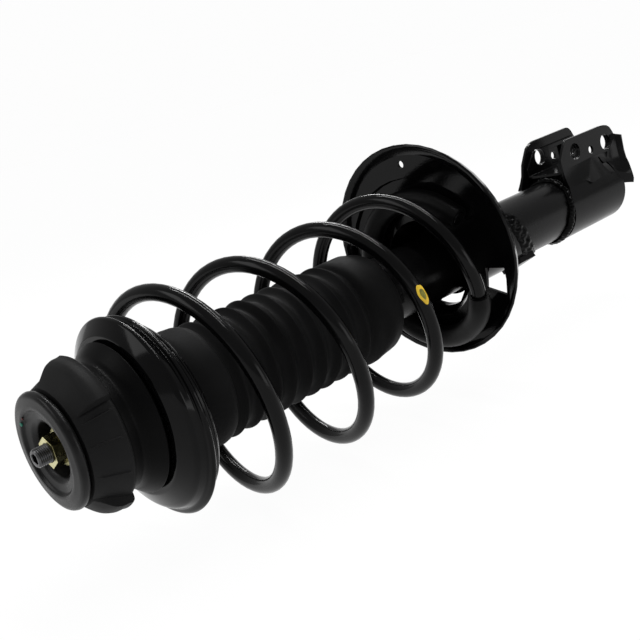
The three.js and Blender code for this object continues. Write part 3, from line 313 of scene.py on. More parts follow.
def ringFaces(rows, sides, closed):
    faces = []
    for r in range(rows if closed else rows - 1):
        for s in range(sides):
            a = r * sides + s
            b = r * sides + (s + 1) % sides
            c = ((r + 1) % rows) * sides
            faces.append((a, b, c + (s + 1) % sides, c + s))
    return faces


def cappedFaces(rows, sides):
    faces = ringFaces(rows, sides, False)
    faces.append(tuple(range(sides))[::-1])
    faces.append(tuple(range((rows - 1) * sides, rows * sides)))
    return faces


def polar(radius, angle, z):
    return (radius * math.cos(angle), radius * math.sin(angle), z)


def turned(profile, segments, shape=None):
    points = []
    for r, z in profile:
        for i in range(segments):
            angle = 2 * math.pi * i / segments
            p = polar(r, angle, z)
            points.append(shape(p, angle) if shape else p)
    return points, ringFaces(len(profile), segments, True)


# rounds each corner of a closed profile, except where it runs nearly straight
def rounded(profile, radius, steps=3):
    straightDeg = 172
    mostOfSide = 0.42
    out = []
    count = len(profile)
    for i in range(count):
        before, here, after = (Vector(profile[(i + k) % count]) for k in (-1, 0, 1))
        a, b = before - here, after - here
        if min(a.length, b.length) < mergeDistance or a.angle(b) > math.radians(straightDeg):
            out.append(tuple(here))
            continue
        cut = min(radius, a.length * mostOfSide, b.length * mostOfSide)
        start, end = here + a.normalized() * cut, here + b.normalized() * cut
        for k in range(steps + 1):
            t = k / steps
            p = start * (1 - t) ** 2 + here * 2 * t * (1 - t) + end * t ** 2
            out.append(tuple(p))
    return out


# a smooth curve of one key through the stations, by turn
def along(stations, key, turn):
    i = 0
    while i < len(stations) - 2 and turn > stations[i + 1]["turn"]:
        i += 1

    def slope(k):
        before, after = stations[max(k - 1, 0)], stations[min(k + 1, len(stations) - 1)]
        return (after[key] - before[key]) / (after["turn"] - before["turn"])

    a, b = stations[i], stations[i + 1]
    span = b["turn"] - a["turn"]
    t = (turn - a["turn"]) / span
    t2, t3 = t * t, t ** 3
    return (a[key] * (2 * t3 - 3 * t2 + 1) + b[key] * (3 * t2 - 2 * t3)
            + slope(i) * span * (t3 - 2 * t2 + t) + slope(i + 1) * span * (t3 - t2))


def smoothstep(x, low, high):
    t = min(max((x - low) / (high - low), 0), 1)
    return t * t * (3 - 2 * t)


def across(tangent):
    side = Vector((0, 0, 1)).cross(tangent).normalized()
    return side, tangent.cross(side)


def sweep(path, radii, sides):
    points = []
    count = len(path)
    for i, p in enumerate(path):
        tangent = (path[min(i + 1, count - 1)] - path[max(i - 1, 0)]).normalized()
        side, rise = across(tangent)
        for s in range(sides):
            angle = 2 * math.pi * s / sides
            reach = side * radii[i] * math.cos(angle) + rise * radii[i] * math.sin(angle)
            points.append(tuple(p + reach))
    return points


# turns are counted downwards from where the wire leaves the upper seat, drop from the top
spring = {
    "wire": 5.6, "turnStart": -1.16, "turnEnd": 4.22, "phase": 2.2716, "radius": 71.3,
    "upperEnd": 54.5, "lowerEnd": 56, "top": 474, "lean": 0.04, "perTurn": 60, "sides": 20,
    "firstFree": -0.1, "lastFree": 3.3, "settled": 3.75, "tipTurns": 0.03, "endTaper": 0.8,
    "sleeveStart": 3.38, "sleeveOuter": 8.5, "sleeveInner": 5.85, "sleeveSides": 24,
    "sleeveGap": 0.3, "mouthTaper": 0.7, "tailTaper": 0.5,
}
# the wire's route: how wide and how far down it runs at each turn, joined by a smooth curve
stations = [
    {"turn": spring["turnStart"], "radius": spring["upperEnd"], "drop": 0},
    {"turn": -0.6, "radius": spring["upperEnd"], "drop": 0.8},
    {"turn": -0.35, "radius": spring["upperEnd"] + 4.5, "drop": 3},
    {"turn": 0, "radius": spring["radius"] + 4.4, "drop": 18},
    {"turn": 0.5, "radius": spring["radius"] + 0.8, "drop": 42.2},
    {"turn": 1.5, "radius": spring["radius"] + 1, "drop": 117.3},
    {"turn": 2.5, "radius": spring["radius"] - 1.5, "drop": 192},
    {"turn": 3, "radius": spring["radius"], "drop": 217.4},
    {"turn": 3.35, "radius": spring["radius"] - 1.3, "drop": 234.5},
    {"turn": 3.5, "radius": spring["lowerEnd"] + 0.5, "drop": 247},
    {"turn": 3.65, "radius": spring["lowerEnd"] - 2, "drop": 256},
    {"turn": spring["turnEnd"], "radius": spring["lowerEnd"], "drop": 258},
]
# the coils' middle wanders a little off the rod's axis
centres = [
    {"turn": spring["turnStart"], "x": -2, "y": -6},
    {"turn": -0.6, "x": -2, "y": -6.5},
    {"turn": 0.2, "x": 2.6, "y": -10},
    {"turn": 3.2, "x": 0, "y": -4},
    {"turn": 3.8, "x": 5, "y": 2},
    {"turn": spring["turnEnd"], "x": 6, "y": 2.5},
]
# the pan's tilted plane and its groove, where the last turn lies in its sleeve
pan = {
    "centre": (5.5, 16), "rim": 216.4, "leanX": 0.048, "leanY": -0.039,
    "lipDrop": 4, "grooveDrop": 3.5,
}


def panLevel(x, y):
    tilt = pan["leanX"] * (x - pan["centre"][0]) + pan["leanY"] * (y - pan["centre"][1])
    return pan["rim"] - tilt


def springPoint(turn):
    radius = along(stations, "radius", turn)
    angle = spring["phase"] - 2 * math.pi * turn
    rise = radius * math.sin(angle)
    x = radius * math.cos(angle) + along(centres, "x", turn)
    y = rise + along(centres, "y", turn)
    lean = spring["lean"] * rise * smoothstep(turn, -0.5, 0)
    free = spring["top"] - along(stations, "drop", turn) + lean
    groove = panLevel(x, y) - pan["lipDrop"] - pan["grooveDrop"]
    seated = groove + spring["sleeveGap"] + spring["sleeveOuter"]
    settled = smoothstep(turn, spring["lastFree"], spring["settled"])
    return Vector((x, y, free * (1 - settled) + seated * settled))


def springPath(start, end):
    steps = round((end - start) * spring["perTurn"])
    turns = [start + (end - start) * i / steps for i in range(steps + 1)]
    return turns, [springPoint(t) for t in turns]


# each section of the wire moves as a whole, by its share of the free turns
def rideSpring(thing, sectionTurns, sides):
    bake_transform(thing, "strut_body", "upper_seat", start=(0, 0, 0.212), end=(0, 0, 0.476))
    lowFree, highFree = spring["lastFree"], spring["firstFree"]
    shares = []
    for t in sectionTurns:
        shares += [min(max((lowFree - t) / (lowFree - highFree), 0), 1)] * sides
    values = thing.data.attributes["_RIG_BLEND"].data
    values.foreach_set("value", np.array(shares, np.float32))


turns, path = springPath(spring["turnStart"], spring["turnEnd"])
headward = (path[0] - path[1]).normalized()
tailward = (path[-1] - path[-2]).normalized()
tip = 2 * spring["wire"]  # the wire's straight ends run on past the first and last turn
beforeTip = tip - 1
path = [path[0] + headward * tip, path[0] + headward * beforeTip] + path
path += [path[-1] + tailward * beforeTip, path[-1] + tailward * tip]
headTurns = [turns[0] - spring["tipTurns"]] * 2
tailTurns = [turns[-1] + spring["tipTurns"]] * 2
turns = headTurns + turns + tailTurns
radii = [spring["wire"]] * len(path)
radii[0] = radii[-1] = spring["wire"] - spring["endTaper"]
coil = piece("visible_spring", sweep(path, radii, spring["sides"]),
             cappedFaces(len(path), spring["sides"]), springPaint, None,
             ["coil_spring"])
rideSpring(coil, turns, spring["sides"])

# the sleeve's skin runs down the wire outside and comes back inside
first = next(i for i, t in enumerate(turns) if t >= spring["sleeveStart"])
sleevePath = path[first:]
rows = len(sleevePath)
lip = [spring["sleeveOuter"]] * rows
lip[0] -= spring["mouthTaper"]
lip[-1] -= spring["tailTaper"]
sides = spring["sleeveSides"]
outside = sweep(sleevePath, lip, sides)
inside = sweep(sleevePath, [spring["sleeveInner"]] * rows, sides)
backwards = [inside[r * sides + k] for r in reversed(range(rows)) for k in range(sides)]
piece("visible_sleeve", outside + backwards, ringFaces(2 * rows, sides, True), sleeveRubber,
      "strut_body", ["lower_insulator"], 60)


# a dab of paint on the wire, from its inner share outwards, its edge a little wavy
def paintMark(name, material, mark):
    around = 28
    rings = 5
    step = 0.003
    spots, spotTurns = [], []
    for ring in range(rings + 1):
        share = mark["inner"] + (1 - mark["inner"]) * ring / rings
        for k in range(around):
            angle = 2 * math.pi * k / around
            waver = 1 + 0.06 * math.sin(3 * angle + 1) + 0.04 * math.sin(5 * angle)
            turn = mark["turn"] + mark["halfTurn"] * share * waver * math.cos(angle)
            rollDeg = mark["angleDeg"] + mark["halfDeg"] * share * waver * math.sin(angle)
            roll = math.radians(rollDeg)
            tangent = (springPoint(turn + step) - springPoint(turn - step)).normalized()
            side, rise = across(tangent)
            outward = side * math.cos(roll) + rise * math.sin(roll)
            spots.append(tuple(springPoint(turn) + outward * (spring["wire"] + mark["lift"])))
            spotTurns.append(turn)
    faces = ringFaces(rings + 1, around, False)
    thing = piece(name, spots, faces, material, None, (), 80)
    rideSpring(thing, spotTurns, 1)


yellowRing = {
    "turn": 2.331, "halfTurn": 0.0155, "angleDeg": 3, "halfDeg": 39, "inner": 0.55, "lift": 0.12,
}
oliveSpot = {
    "turn": 2.331, "halfTurn": 0.0105, "angleDeg": 3, "halfDeg": 26, "inner": 0.02, "lift": 0.1,
}
paintMark("coil_mark_ring", markYellow, yellowRing)
paintMark("coil_mark_spot", markOlive, oliveSpot)
print("stage: spring made")

# smooth is the plain length under the seat, cuffHeight the plain length round the tube's top
boot = {
    "radius": 41.5, "wall": 1.8, "top": 493.2, "smooth": 56, "ribs": 9, "ribDepth": 3.6,
    "crest": 40.8, "cuff": 38.2, "cuffHeight": 32, "end": 281, "sag": 3, "segments": 160,
    "ribSteps": 14, "valleySharpness": 1.2, "mouthInset": 9,
}
shoulder = boot["top"] - boot["smooth"]
cuffTop = boot["end"] + boot["cuffHeight"]
pitch = (shoulder - cuffTop) / boot["ribs"]
skinLine = [
    (boot["radius"] - boot["mouthInset"], boot["top"]), (boot["radius"] - 1.4, boot["top"] - 0.3),
    (boot["radius"] - 0.2, boot["top"] - 2), (boot["radius"], boot["top"] - 5),
    (boot["radius"] + 0.1, shoulder + 34), (boot["radius"] - 0.1, shoulder + 22),
    (boot["radius"] + 0.1, shoulder + 12), (boot["radius"], shoulder + 6),
    (boot["radius"] - 0.5, shoulder + 3), (boot["crest"] - 1.2, shoulder + 0.8),
]
for i in range(boot["ribs"]):
    for k in range(boot["ribSteps"]):
        share = k / boot["ribSteps"]
        valley = abs(math.cos(math.pi * share)) ** boot["valleySharpness"]
        radius = boot["crest"] - boot["ribDepth"] * valley
        skinLine.append((radius, shoulder - (i + share) * pitch))
skinLine += [
    (boot["crest"] - boot["ribDepth"] + 0.8, cuffTop), (boot["crest"] - 1.6, cuffTop - 1.6),
    (boot["crest"] - 0.5, cuffTop - 3.6), (boot["crest"], cuffTop - 7),
    (boot["crest"] + 0.1, cuffTop - 12),
    (boot["crest"], boot["end"] + 14), (boot["crest"] - 0.6, boot["end"] + 9),
    (boot["cuff"] + 0.8, boot["end"] + 4.6), (boot["cuff"] + 0.3, boot["end"] + 3),
    (boot["cuff"], boot["end"] + 1.6), (boot["cuff"] - 0.8, boot["end"]),
]
lining = [(r - boot["wall"], z) for r, z in skinLine[1:-1]]
lining[0] = (lining[0][0], boot["top"] - boot["wall"])
closed = skinLine + [(boot["cuff"] - 0.8 - boot["wall"], boot["end"])] + lining[::-1]
closed += [(boot["radius"] - boot["mouthInset"], boot["top"] - boot["wall"])]


def within(z, low, high, fade):
    return smoothstep(z, low, low + fade) * (1 - smoothstep(z, high - fade, high))


# the plain lengths are gently creased, and the whole boot hangs a little below the rod's axis
def creased(p, angle):
    x, y, z = p
    cuffShare = smoothstep(z, boot["end"] + 3, boot["end"] + 12)
    cuffShare *= 1 - smoothstep(z, cuffTop - 9, cuffTop - 2)
    neckShare = within(z, shoulder + 4, boot["top"] - 4, 10)
    fold = math.sin(3 * angle + z * 0.16) + 0.6 * math.sin(5 * angle - z * 0.23 + 1.3)
    ridge = max(0, math.cos(angle * 2 + z * 0.09 - 0.4)) ** 12
    crease = cuffShare * (0.5 * fold + 0.9 * ridge - 0.5) + neckShare * 0.35 * fold
    wobble = 1 + 0.0025 * math.sin(7 * angle + z * 0.7)
    stretch = (1 + crease / boot["crest"]) * wobble
    return (x * stretch, y * stretch - boot["sag"], z)


points, faces = turned(closed, boot["segments"], creased)
bellows = piece("visible_boot", points, faces, bootRubber, "strut_body",
                ["dust_boot"], 75)
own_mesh(bellows)
print("stage: boot made")

# dots are colour checks brushed on the disc's face: place and radius
disc = {
    "bore": 6.3, "floorLow": 532, "thick": 3, "bowl": 15.5, "lipRadius": 24, "radius": 38.2,
    "edge": 550, "rimDepth": 7, "step": 27, "mouth": 17.8, "segments": 128,
    "greenDot": (-22, 16.8, 1.3), "redDot": (-17.2, 20.8, 0.8), "dotSides": 16,
    "dotRoot": -0.4, "dotFace": 0.45,
}
low = disc["edge"] - disc["rimDepth"]
edge, floorTop = disc["edge"], disc["floorLow"] + disc["thick"]
discProfile = rounded([
    (disc["bore"], disc["floorLow"]), (disc["bowl"] + disc["thick"], disc["floorLow"]),
    (disc["mouth"] + 2.6, edge - 8.2), (disc["lipRadius"] + 1, low), (disc["radius"] - 3, low),
    (disc["radius"] - 0.6, low + 1.6), (disc["radius"], edge - disc["rimDepth"] / 2),
    (disc["radius"] - 0.8, edge - 1.2), (disc["radius"] - 3, edge - 0.2),
    (disc["radius"] - 6, edge), (disc["step"] + 2.5, edge + 0.4), (disc["step"] + 0.6, edge + 0.2),
    (disc["step"] - 0.8, edge - 1.6), (disc["mouth"] + 3, edge - 2.6),
    (disc["mouth"], edge - 4.6), (disc["bowl"] + 0.8, floorTop + 1.5),
    (disc["bowl"] - 0.6, floorTop), (disc["bore"], floorTop),
], 1)
points, faces = turned(discProfile, disc["segments"])
piece("visible_mount_disc", points, faces, discPaint, "top_mount",
      ["mount_top_disc"], 50)


def paintDot(name, material, dot):
    x, y, radius = dot
    sides = disc["dotSides"]
    points = []
    for lift in (disc["dotRoot"], disc["dotFace"]):
        for k in range(sides):
            angle = 2 * math.pi * k / sides
            points.append((x + radius * math.cos(angle), y + radius * math.sin(angle), edge + lift))
    piece(name, points, cappedFaces(2, sides), material, "top_mount", (), 40)


paintDot("disc_mark_green", markGreen, disc["greenDot"])
paintDot("disc_mark_red", markRed, disc["redDot"])

# the block is a cone that widens towards its back, with three lobes and four flow ribs
rubber = {
    "low": 518.7, "bodyTop": 542.1, "top": 542.7, "back": 46.2, "front": 37.6, "neck": 33,
    "reach": 6, "spanDeg": 60, "middlesDeg": (64, 179, -86), "sides": 360, "coreHole": 10.2,
    "ribsDeg": (30.5, 25, 4, -25), "ribHeight": 0.9, "ribHalfDeg": 0.9,
    "flank": 0.035, "slopeSteps": 24, "footHeight": 2.4, "footLobe": 0.68, "coreGap": 0.4,
}


# 1 on a lobe, 0 between them, with a short ramp at each flank
def lobe(angle):
    half = math.radians(rubber["spanDeg"] / 2)
    flank = rubber["flank"]
    offsets = [angle - math.radians(m) for m in rubber["middlesDeg"]]
    nearest = min(abs(math.atan2(math.sin(o), math.cos(o))) for o in offsets)
    return min(max((half + flank - nearest) / flank, 0), 1)


def rib(angle, z):
    away = min(abs(math.degrees(angle) - d % 360) for d in rubber["ribsDeg"])
    share = (z - rubber["low"]) / (rubber["bodyTop"] - rubber["low"])
    ends = smoothstep(share, 0.12, 0.2) * (1 - smoothstep(share, 0.8, 0.95))
    return max(0, 1 - away / rubber["ribHalfDeg"]) * ends


height = rubber["bodyTop"] - rubber["low"]
blockRows = [  # level, radius and how far the lobes stand out
    (rubber["low"], rubber["back"] - 1.4, 0.46), (rubber["low"] + 0.5, rubber["back"] - 0.7, 0.55),
    (rubber["low"] + 1.4, rubber["back"] - 0.2, 0.62),
    (rubber["low"] + rubber["footHeight"], rubber["back"], rubber["footLobe"]),
]
for k in range(1, rubber["slopeSteps"] + 1):
    share = k / rubber["slopeSteps"]
    level = rubber["low"] + rubber["footHeight"] + (height - rubber["footHeight"]) * share
    radius = rubber["back"] + (rubber["front"] - rubber["back"]) * share
    rising = rubber["footLobe"] + (1 - rubber["footLobe"]) * smoothstep(share, 0, 0.36)
    falling = 1 - 0.9 * smoothstep(share, 0.45, 1)
    blockRows.append((level, radius, min(rising, falling)))
blockRows += [(rubber["bodyTop"] + 0.6, rubber["neck"], 0), (rubber["top"], rubber["neck"], 0)]
points = []
for z, radius, lobeShare in blockRows:
    for i in range(rubber["sides"]):
        angle = 2 * math.pi * i / rubber["sides"]
        reach = rubber["reach"] * lobeShare * lobe(angle) + rubber["ribHeight"] * rib(angle, z)
        points.append(polar(radius + reach, angle, z))
hollowFloor = disc["floorLow"] - rubber["coreGap"]
hollow = [(disc["lipRadius"] + 1.4, rubber["top"]), (disc["bowl"] + 3.6, hollowFloor),
          (rubber["coreHole"], hollowFloor), (rubber["coreHole"], rubber["low"])]
inner, _ = turned(hollow, rubber["sides"])
faces = ringFaces(len(blockRows) + len(hollow), rubber["sides"], True)
piece("visible_mount_rubber", points + inner, faces, rubberBlack, "top_mount",
      ["mount_rubber"], 38)

cover = {
    "hole": 10.6, "ceiling": 506, "pocket": 40.9, "bottom": 497.9, "top": 518.4, "skirt": 50.2,
    "waist": 41.8, "topRadius": 43.5, "wall": 2.6, "segments": 128,
}
bottom = cover["bottom"]
coverProfile = rounded([
    (cover["hole"], cover["ceiling"]), (cover["pocket"], cover["ceiling"]),
    (cover["pocket"], cover["ceiling"] - 2.5), (cover["skirt"] - cover["wall"] - 1, bottom + 2.5),
    (cover["skirt"] - cover["wall"], bottom), (cover["skirt"] - 0.5, bottom),
    (cover["skirt"], bottom + 1.2), (cover["waist"] + 4.6, bottom + 5.4),
    (cover["waist"] + 1.2, bottom + 9), (cover["waist"], bottom + 12.5),
    (cover["topRadius"] - 0.4, cover["top"] - 3), (cover["topRadius"], cover["top"]),
    (cover["hole"], cover["top"]),
], 1.6, 4)
points, faces = turned(coverProfile, cover["segments"])
piece("visible_bearing_cover", points, faces, mouldedNylon, "top_mount",
      ["bearing_cover"], 60)

# the dish: shift sets its folded rim aside from the rod's axis
seat = {
    "level": 496, "plate": 2.5, "bore": 14, "flat": 53, "fold": 62.8, "foldDrop": 5.5, "rim": 67.4,
    "rimDrop": 16, "shift": 6.6, "foldShare": 0.9, "segments": 160,
}
fold = seat["level"] - seat["foldDrop"]
rim = seat["level"] - seat["rimDrop"]
under = seat["plate"] * seat["foldShare"]
seatProfile = rounded([
    (seat["bore"], seat["level"] - seat["plate"]),
    (seat["flat"] - 1, seat["level"] - seat["plate"]),
    (seat["fold"] - under, fold - under + 0.6), (seat["rim"] - 6, rim + 1.4),
    (seat["rim"] - 3.4, rim - 0.8),
    (seat["rim"] - 1.6, rim - 1.6), (seat["rim"], rim), (seat["rim"] - 0.4, rim + 2),
    (seat["rim"] - 3.2, rim + 3), (seat["fold"] + 1.8, fold - 2), (seat["fold"], fold),
    (seat["flat"], seat["level"]), (seat["bore"], seat["level"]),
], 1.1, 4)


def leanRim(p, angle):
    below = min(max(0, fold + 0.5 - p[2]) / (fold - rim), 1)
    outside = math.hypot(p[0], p[1]) > seat["flat"] + 1
    return (p[0], p[1] - (seat["shift"] * below if outside else 0), p[2])


points, faces = turned(seatProfile, seat["segments"], leanRim)
piece("visible_upper_seat", points, faces, dishPaint, "upper_seat",
      ["upper_spring_seat"], 60)
print("stage: top mount made")

rod = {
    "radius": 10, "shoulder": 504.7, "tip": 558, "stud": 6, "root": 5.35, "pitch": 1.25,
    "threadFrom": 536, "threadFade": 2, "threadSlope": 1.25, "stepsPerPitch": 8,
    "tipTaper": 1.3, "tipSlope": 0.75,
    "socketFlats": 6.4, "socketDepth": 6, "socketMouth": 0.9, "socketChamfer": 0.5,
    "low": 126.6, "pin": 5, "pinTop": 159.8, "segments": 48,
}
seg = rod["segments"]
rodRows = [
    (rod["pin"], rod["low"]), (rod["pin"], rod["pinTop"]), (rod["radius"] - 0.3, rod["pinTop"]),
    (rod["radius"], rod["pinTop"] + 0.5), (rod["radius"], rod["shoulder"] - 0.4),
    (rod["radius"] - 0.4, rod["shoulder"]), (rod["stud"], rod["shoulder"]),
    (rod["stud"], rod["threadFrom"]),
]
points, _ = turned(rodRows, seg)
threadStep = rod["pitch"] / rod["stepsPerPitch"]
threadRows = int((rod["tip"] - rod["threadFrom"]) / threadStep)
for k in range(1, threadRows + 1):
    z = rod["threadFrom"] + k * threadStep
    fade = smoothstep(z, rod["threadFrom"], rod["threadFrom"] + rod["threadFade"])
    limit = rod["stud"] - max(0, z - (rod["tip"] - rod["tipTaper"])) * rod["tipSlope"]
    for i in range(seg):
        angle = 2 * math.pi * i / seg
        phase = (z / rod["pitch"] - angle / (2 * math.pi)) % 1
        ridge = 1 - abs(2 * phase - 1)
        valley = 1 - min(ridge * rod["threadSlope"], 1)
        depth = (rod["stud"] - rod["root"]) * fade * valley
        points.append(polar(min(rod["stud"] - depth, limit), angle, z))
socketRows = [
    (rod["tip"], rod["socketFlats"] + rod["socketMouth"]),
    (rod["tip"] - rod["socketChamfer"], rod["socketFlats"]),
    (rod["tip"] - rod["socketDepth"], rod["socketFlats"]),
]
for level, flats in socketRows:
    for i in range(seg):
        angle = 2 * math.pi * i / seg
        sector = (angle + math.pi / 6) % (math.pi / 3) - math.pi / 6
        points.append(polar(flats / 2 / math.cos(sector), angle, level))
rows = len(rodRows) + threadRows + len(socketRows)
piece("visible_rod", points, cappedFaces(rows, seg), darkSteel, "top_mount",
      ["piston_rod"], 35)


# a copy of a solid with its flat triangles joined and its edges rounded by width
def dressed(node, name, material, body, width, segments=2, sharpDeg=30):
    flatDeg = 0.5
    copy = placed(name, nodes[node].data.copy())
    made = bmesh.new()
    made.from_mesh(copy.data)
    bmesh.ops.remove_doubles(made, verts=made.verts, dist=mergeDistance)
    inner = [e for e in made.edges if len(e.link_faces) == 2]
    flat = [e for e in inner if e.calc_face_angle(0) < math.radians(flatDeg)]
    bmesh.ops.dissolve_edges(made, edges=flat, use_verts=True)
    made.to_mesh(copy.data)
    made.free()
    mesh = copy.data
    mesh.materials.clear()
    mesh.materials.append(material)
    mesh.polygons.foreach_set("use_smooth", [True] * len(mesh.polygons))
    mesh.set_sharp_from_angle(angle=math.radians(sharpDeg))
    bevel = copy.modifiers.new("edges", "BEVEL")
    bevel.width = width * mm
    bevel.segments = segments
    bevel.limit_method = "ANGLE"
    bevel.angle_limit = math.radians(sharpDeg)
    bevel.harden_normals = False
    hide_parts(node)
    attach(copy, body)


dressed("rod_nut", "visible_nut", zincYellow, "top_mount", 0.5, 3)
dressed("nut_washer", "visible_washer", bareSteel, "top_mount", 0.3, 2)
print("stage: rod end made")

# the outer tube, from the bracket's foot to the rolled closing ring
tube = {"inner": 23, "outer": 25.5, "low": -33, "high": 288, "segments": 96}
tubeProfile = rounded([(tube["inner"], tube["low"]), (tube["outer"], tube["low"]),
                       (tube["outer"], tube["high"]), (tube["inner"], tube["high"])], 0.6, 3)
points, faces = turned(tubeProfile, tube["segments"])
piece("visible_tube", points, faces, satinPaint, "strut_body", ["strut_tube"], 40)
dressed("lower_spring_seat", "visible_pan", glossPaint, "strut_body",
        0.8, 3, 25)
dressed("seat_saddle", "visible_saddle", glossPaint, "strut_body", 0.5)
dressed("hose_tab", "visible_tab", satinPaint, "strut_body", 0.6)
dressed("knuckle_bracket", "visible_bracket", bracketPaint, "strut_body",
        0.7, 3)


# straight between stops, each a place and its values
def between(stops, x):
    for before, after in zip(stops, stops[1:]):
        if x <= after[0]:
            t = (x - before[0]) / (after[0] - before[0])
            return [a + (b - a) * t for a, b in zip(before[1:], after[1:])]
    return list(stops[-1][1:])


# the bead where the bracket is wrapped round the tube: degrees, level and half its width
weld = {
    "reach": 26.4, "height": 2.3, "sides": 14, "steps": 320, "startDeg": -90,
    "levels": [
        (-90, 54.5, 4.4), (-60, 54.8, 4.6), (-40, 54.4, 4.8), (-25, 53.4, 4.4), (-9, 52.6, 3.8),
        (10, 50.8, 3.2), (25, 48, 2.8), (40, 46.4, 2.6), (58, 46, 2.8), (94, 45.6, 2.8),
        (130, 46.5, 2.8), (160, 50, 3.2), (200, 53, 4), (270, 54.5, 4.4),
    ],
}
points = []
for i in range(weld["steps"]):
    degrees = weld["startDeg"] + 360 * i / weld["steps"]
    angle = math.radians(degrees)
    level, width = between(weld["levels"], degrees)
    ripple = 1 + 0.1 * math.sin(i * 1.3) + 0.07 * math.sin(i * 0.53 + 1) + 0.05 * math.sin(i * 2.9)
    wander = 0.5 * math.sin(i * 0.21) + 0.3 * math.sin(i * 0.47 + 2)
    for k in range(weld["sides"]):
        around = 2 * math.pi * k / weld["sides"]
        ridge = 1 + 0.12 * math.cos(4 * around + 0.5 * math.sin(i * 0.11))
        r = weld["reach"] + weld["height"] * ripple * ridge * math.cos(around)
        z = level + wander + width * (0.7 + 0.3 * ripple) * ridge * math.sin(around)
        points.append(polar(r, angle, z))
faces = ringFaces(weld["steps"], weld["sides"], True)
piece("wrap_weld", points, faces, weldPaint, "strut_body", (), 70)
dressed("bracket_insert", "visible_insert", bracketPaint, "strut_body", 0.5)

# the lumpy weld on the saddle lies on a round patch: low and high are its borders by degrees
saddleWeld = {
    "radius": 28.5, "back": 27.4, "rise": 1.9, "columns": 46, "rows": 11, "from": 45, "to": -50,
    "low": [(-50, 101.5), (-23, 111), (0, 116.9), (22, 121.1), (39, 123.8), (45, 128.3)],
    "high": [(-50, 119), (-47, 120.7), (-4, 132), (20, 136.3), (45, 133)],
    "endFade": 6, "edgeFade": 5,
}
points = []
for column in range(saddleWeld["columns"] + 1):
    sweepShare = column / saddleWeld["columns"]
    degrees = saddleWeld["from"] + (saddleWeld["to"] - saddleWeld["from"]) * sweepShare
    angle = math.radians(degrees)
    lower, upper = between(saddleWeld["low"], degrees)[0], between(saddleWeld["high"], degrees)[0]
    fade = min(1, saddleWeld["endFade"] * sweepShare, saddleWeld["endFade"] * (1 - sweepShare))
    for row in range(saddleWeld["rows"] + 1):
        up = row / saddleWeld["rows"]
        swell = min(1, saddleWeld["edgeFade"] * up, saddleWeld["edgeFade"] * (1 - up)) * fade
        lump = math.sin(degrees * 0.31 + up * 3) * math.sin(up * 7 + degrees * 0.11)
        lump += 0.5 * math.sin(degrees * 0.63 - up * 5)
        reach = saddleWeld["radius"] + saddleWeld["rise"] * swell * (0.55 + 0.45 * lump)
        points.append(polar(reach, angle, lower + (upper - lower) * up))
    points.append(polar(saddleWeld["back"], angle, upper))
    points.append(polar(saddleWeld["back"], angle, lower))
faces = cappedFaces(saddleWeld["columns"] + 1, saddleWeld["rows"] + 3)
piece("saddle_weld", points, faces, weldPaint, "strut_body", (), 70)
print("stage: body brackets made")


# a place seen from the camera: metres to the right, up and towards it
def directed(sideways, upwards, towards):
    right, up, forward = (Vector(camera[k]) for k in ("right", "up", "forward"))
    return right * sideways + up * upwards - forward * towards


def softbox(name, sideways, upwards, towards, width, depth, power):
    middle = Vector((0, 0, 0.27))  # about half way along the strut
    light = bpy.data.lights.new(name, "AREA")
    light.shape = "RECTANGLE"
    light.size = width
    light.size_y = depth
    light.energy = power
    lamp = placed(name, light)
    away = directed(sideways, upwards, towards)
    lamp.location = middle + away
    lamp.rotation_mode = "QUATERNION"
    lamp.rotation_quaternion = away.normalized().to_track_quat("Z", "Y")
    lamp.visible_camera = False


# metres to the right, up and towards the camera, then two sizes in metres and the power
softbox("overheadStrip", -0.15, 1.25, 0.2, 1.5, 0.05, 10)
softbox("overheadBack", 0.1, 1.15, -0.5, 1.6, 0.05, 9)
softbox("leftWall", -1.5, 0.5, 0.6, 0.6, 1, 5)
softbox("rightWall", 1.4, 0.35, 0.8, 0.6, 0.9, 4)


# 1 for rays that should meet the plain background: seen straight, mirrored or through glass
def backgroundRays(tree):
    rays = tree.nodes.new("ShaderNodeLightPath")
    last = rays.outputs["Is Camera Ray"]
    for kind in ("Is Glossy Ray", "Is Transmission Ray"):
        either = tree.nodes.new("ShaderNodeMath")
        either.operation = "MAXIMUM"
        tree.links.new(last, either.inputs[0])
        tree.links.new(rays.outputs[kind], either.inputs[1])
        last = either.outputs["Value"]
    return last


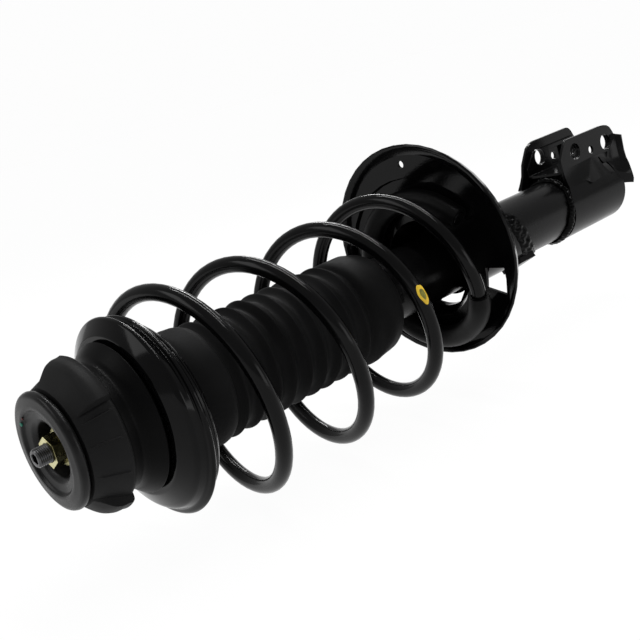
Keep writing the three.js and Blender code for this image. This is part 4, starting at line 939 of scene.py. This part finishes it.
# the floor's level is in millimetres under the rod's axis, the other sizes in metres
studio = {
    "ambient": 0.45, "floorLevel": -93, "floorGlow": 0.965, "floorShare": 0.04, "floorHalf": 60,
    "floorGrey": 0.85, "floorRough": 0.9,
    "backdropAway": 50, "backdropHalf": 45, "backdropHigh": 12,
}
world = bpy.data.worlds.new("studio")
bpy.context.scene.world = world
world.use_nodes = True
ambient = world.node_tree.nodes["Background"]
ambient.inputs["Color"].default_value = (1, 1, 1, 1)
ambient.inputs["Strength"].default_value = studio["ambient"]

floorMaterial, floorTree, floorShader = newMaterial("paleFloor")
floorShader.inputs["Base Color"].default_value = (studio["floorGrey"],) * 3 + (1,)
floorShader.inputs["Roughness"].default_value = studio["floorRough"]
glow = floorTree.nodes.new("ShaderNodeEmission")
glow.inputs["Strength"].default_value = studio["floorGlow"]
faint = floorTree.nodes.new("ShaderNodeBsdfDiffuse")
faint.inputs["Color"].default_value = (studio["floorShare"],) * 3 + (1,)
seen = floorTree.nodes.new("ShaderNodeAddShader")
floorMix = floorTree.nodes.new("ShaderNodeMixShader")
floorTree.links.new(glow.outputs["Emission"], seen.inputs[0])
floorTree.links.new(faint.outputs["BSDF"], seen.inputs[1])
floorTree.links.new(backgroundRays(floorTree), floorMix.inputs["Fac"])
floorTree.links.new(floorShader.outputs["BSDF"], floorMix.inputs[1])
floorTree.links.new(seen.outputs["Shader"], floorMix.inputs[2])
output = floorTree.nodes["Material Output"]
floorTree.links.new(floorMix.outputs["Shader"], output.inputs["Surface"])


def paleSheet(name, corners):
    mesh = bpy.data.meshes.new(name)
    mesh.from_pydata(corners, [], [(0, 1, 2, 3)])
    mesh.materials.append(floorMaterial)
    return placed(name, mesh)


half, level = studio["floorHalf"], studio["floorLevel"] * mm
paleFloor = paleSheet("paleFloor", [
    (-half, level, -half), (-half, level, half), (half, level, half), (half, level, -half),
])
back = Vector((camera["forward"][0], 0, camera["forward"][2])).normalized()
aside = Vector((-back[2], 0, back[0])) * studio["backdropHalf"]
foot = back * studio["backdropAway"] + Vector((0, level, 0))
high = Vector((0, studio["backdropHigh"], 0))
backdrop = paleSheet("paleBackdrop", [
    foot - aside, foot + aside, foot + aside + high, foot - aside + high,
])
print("stage: light made")
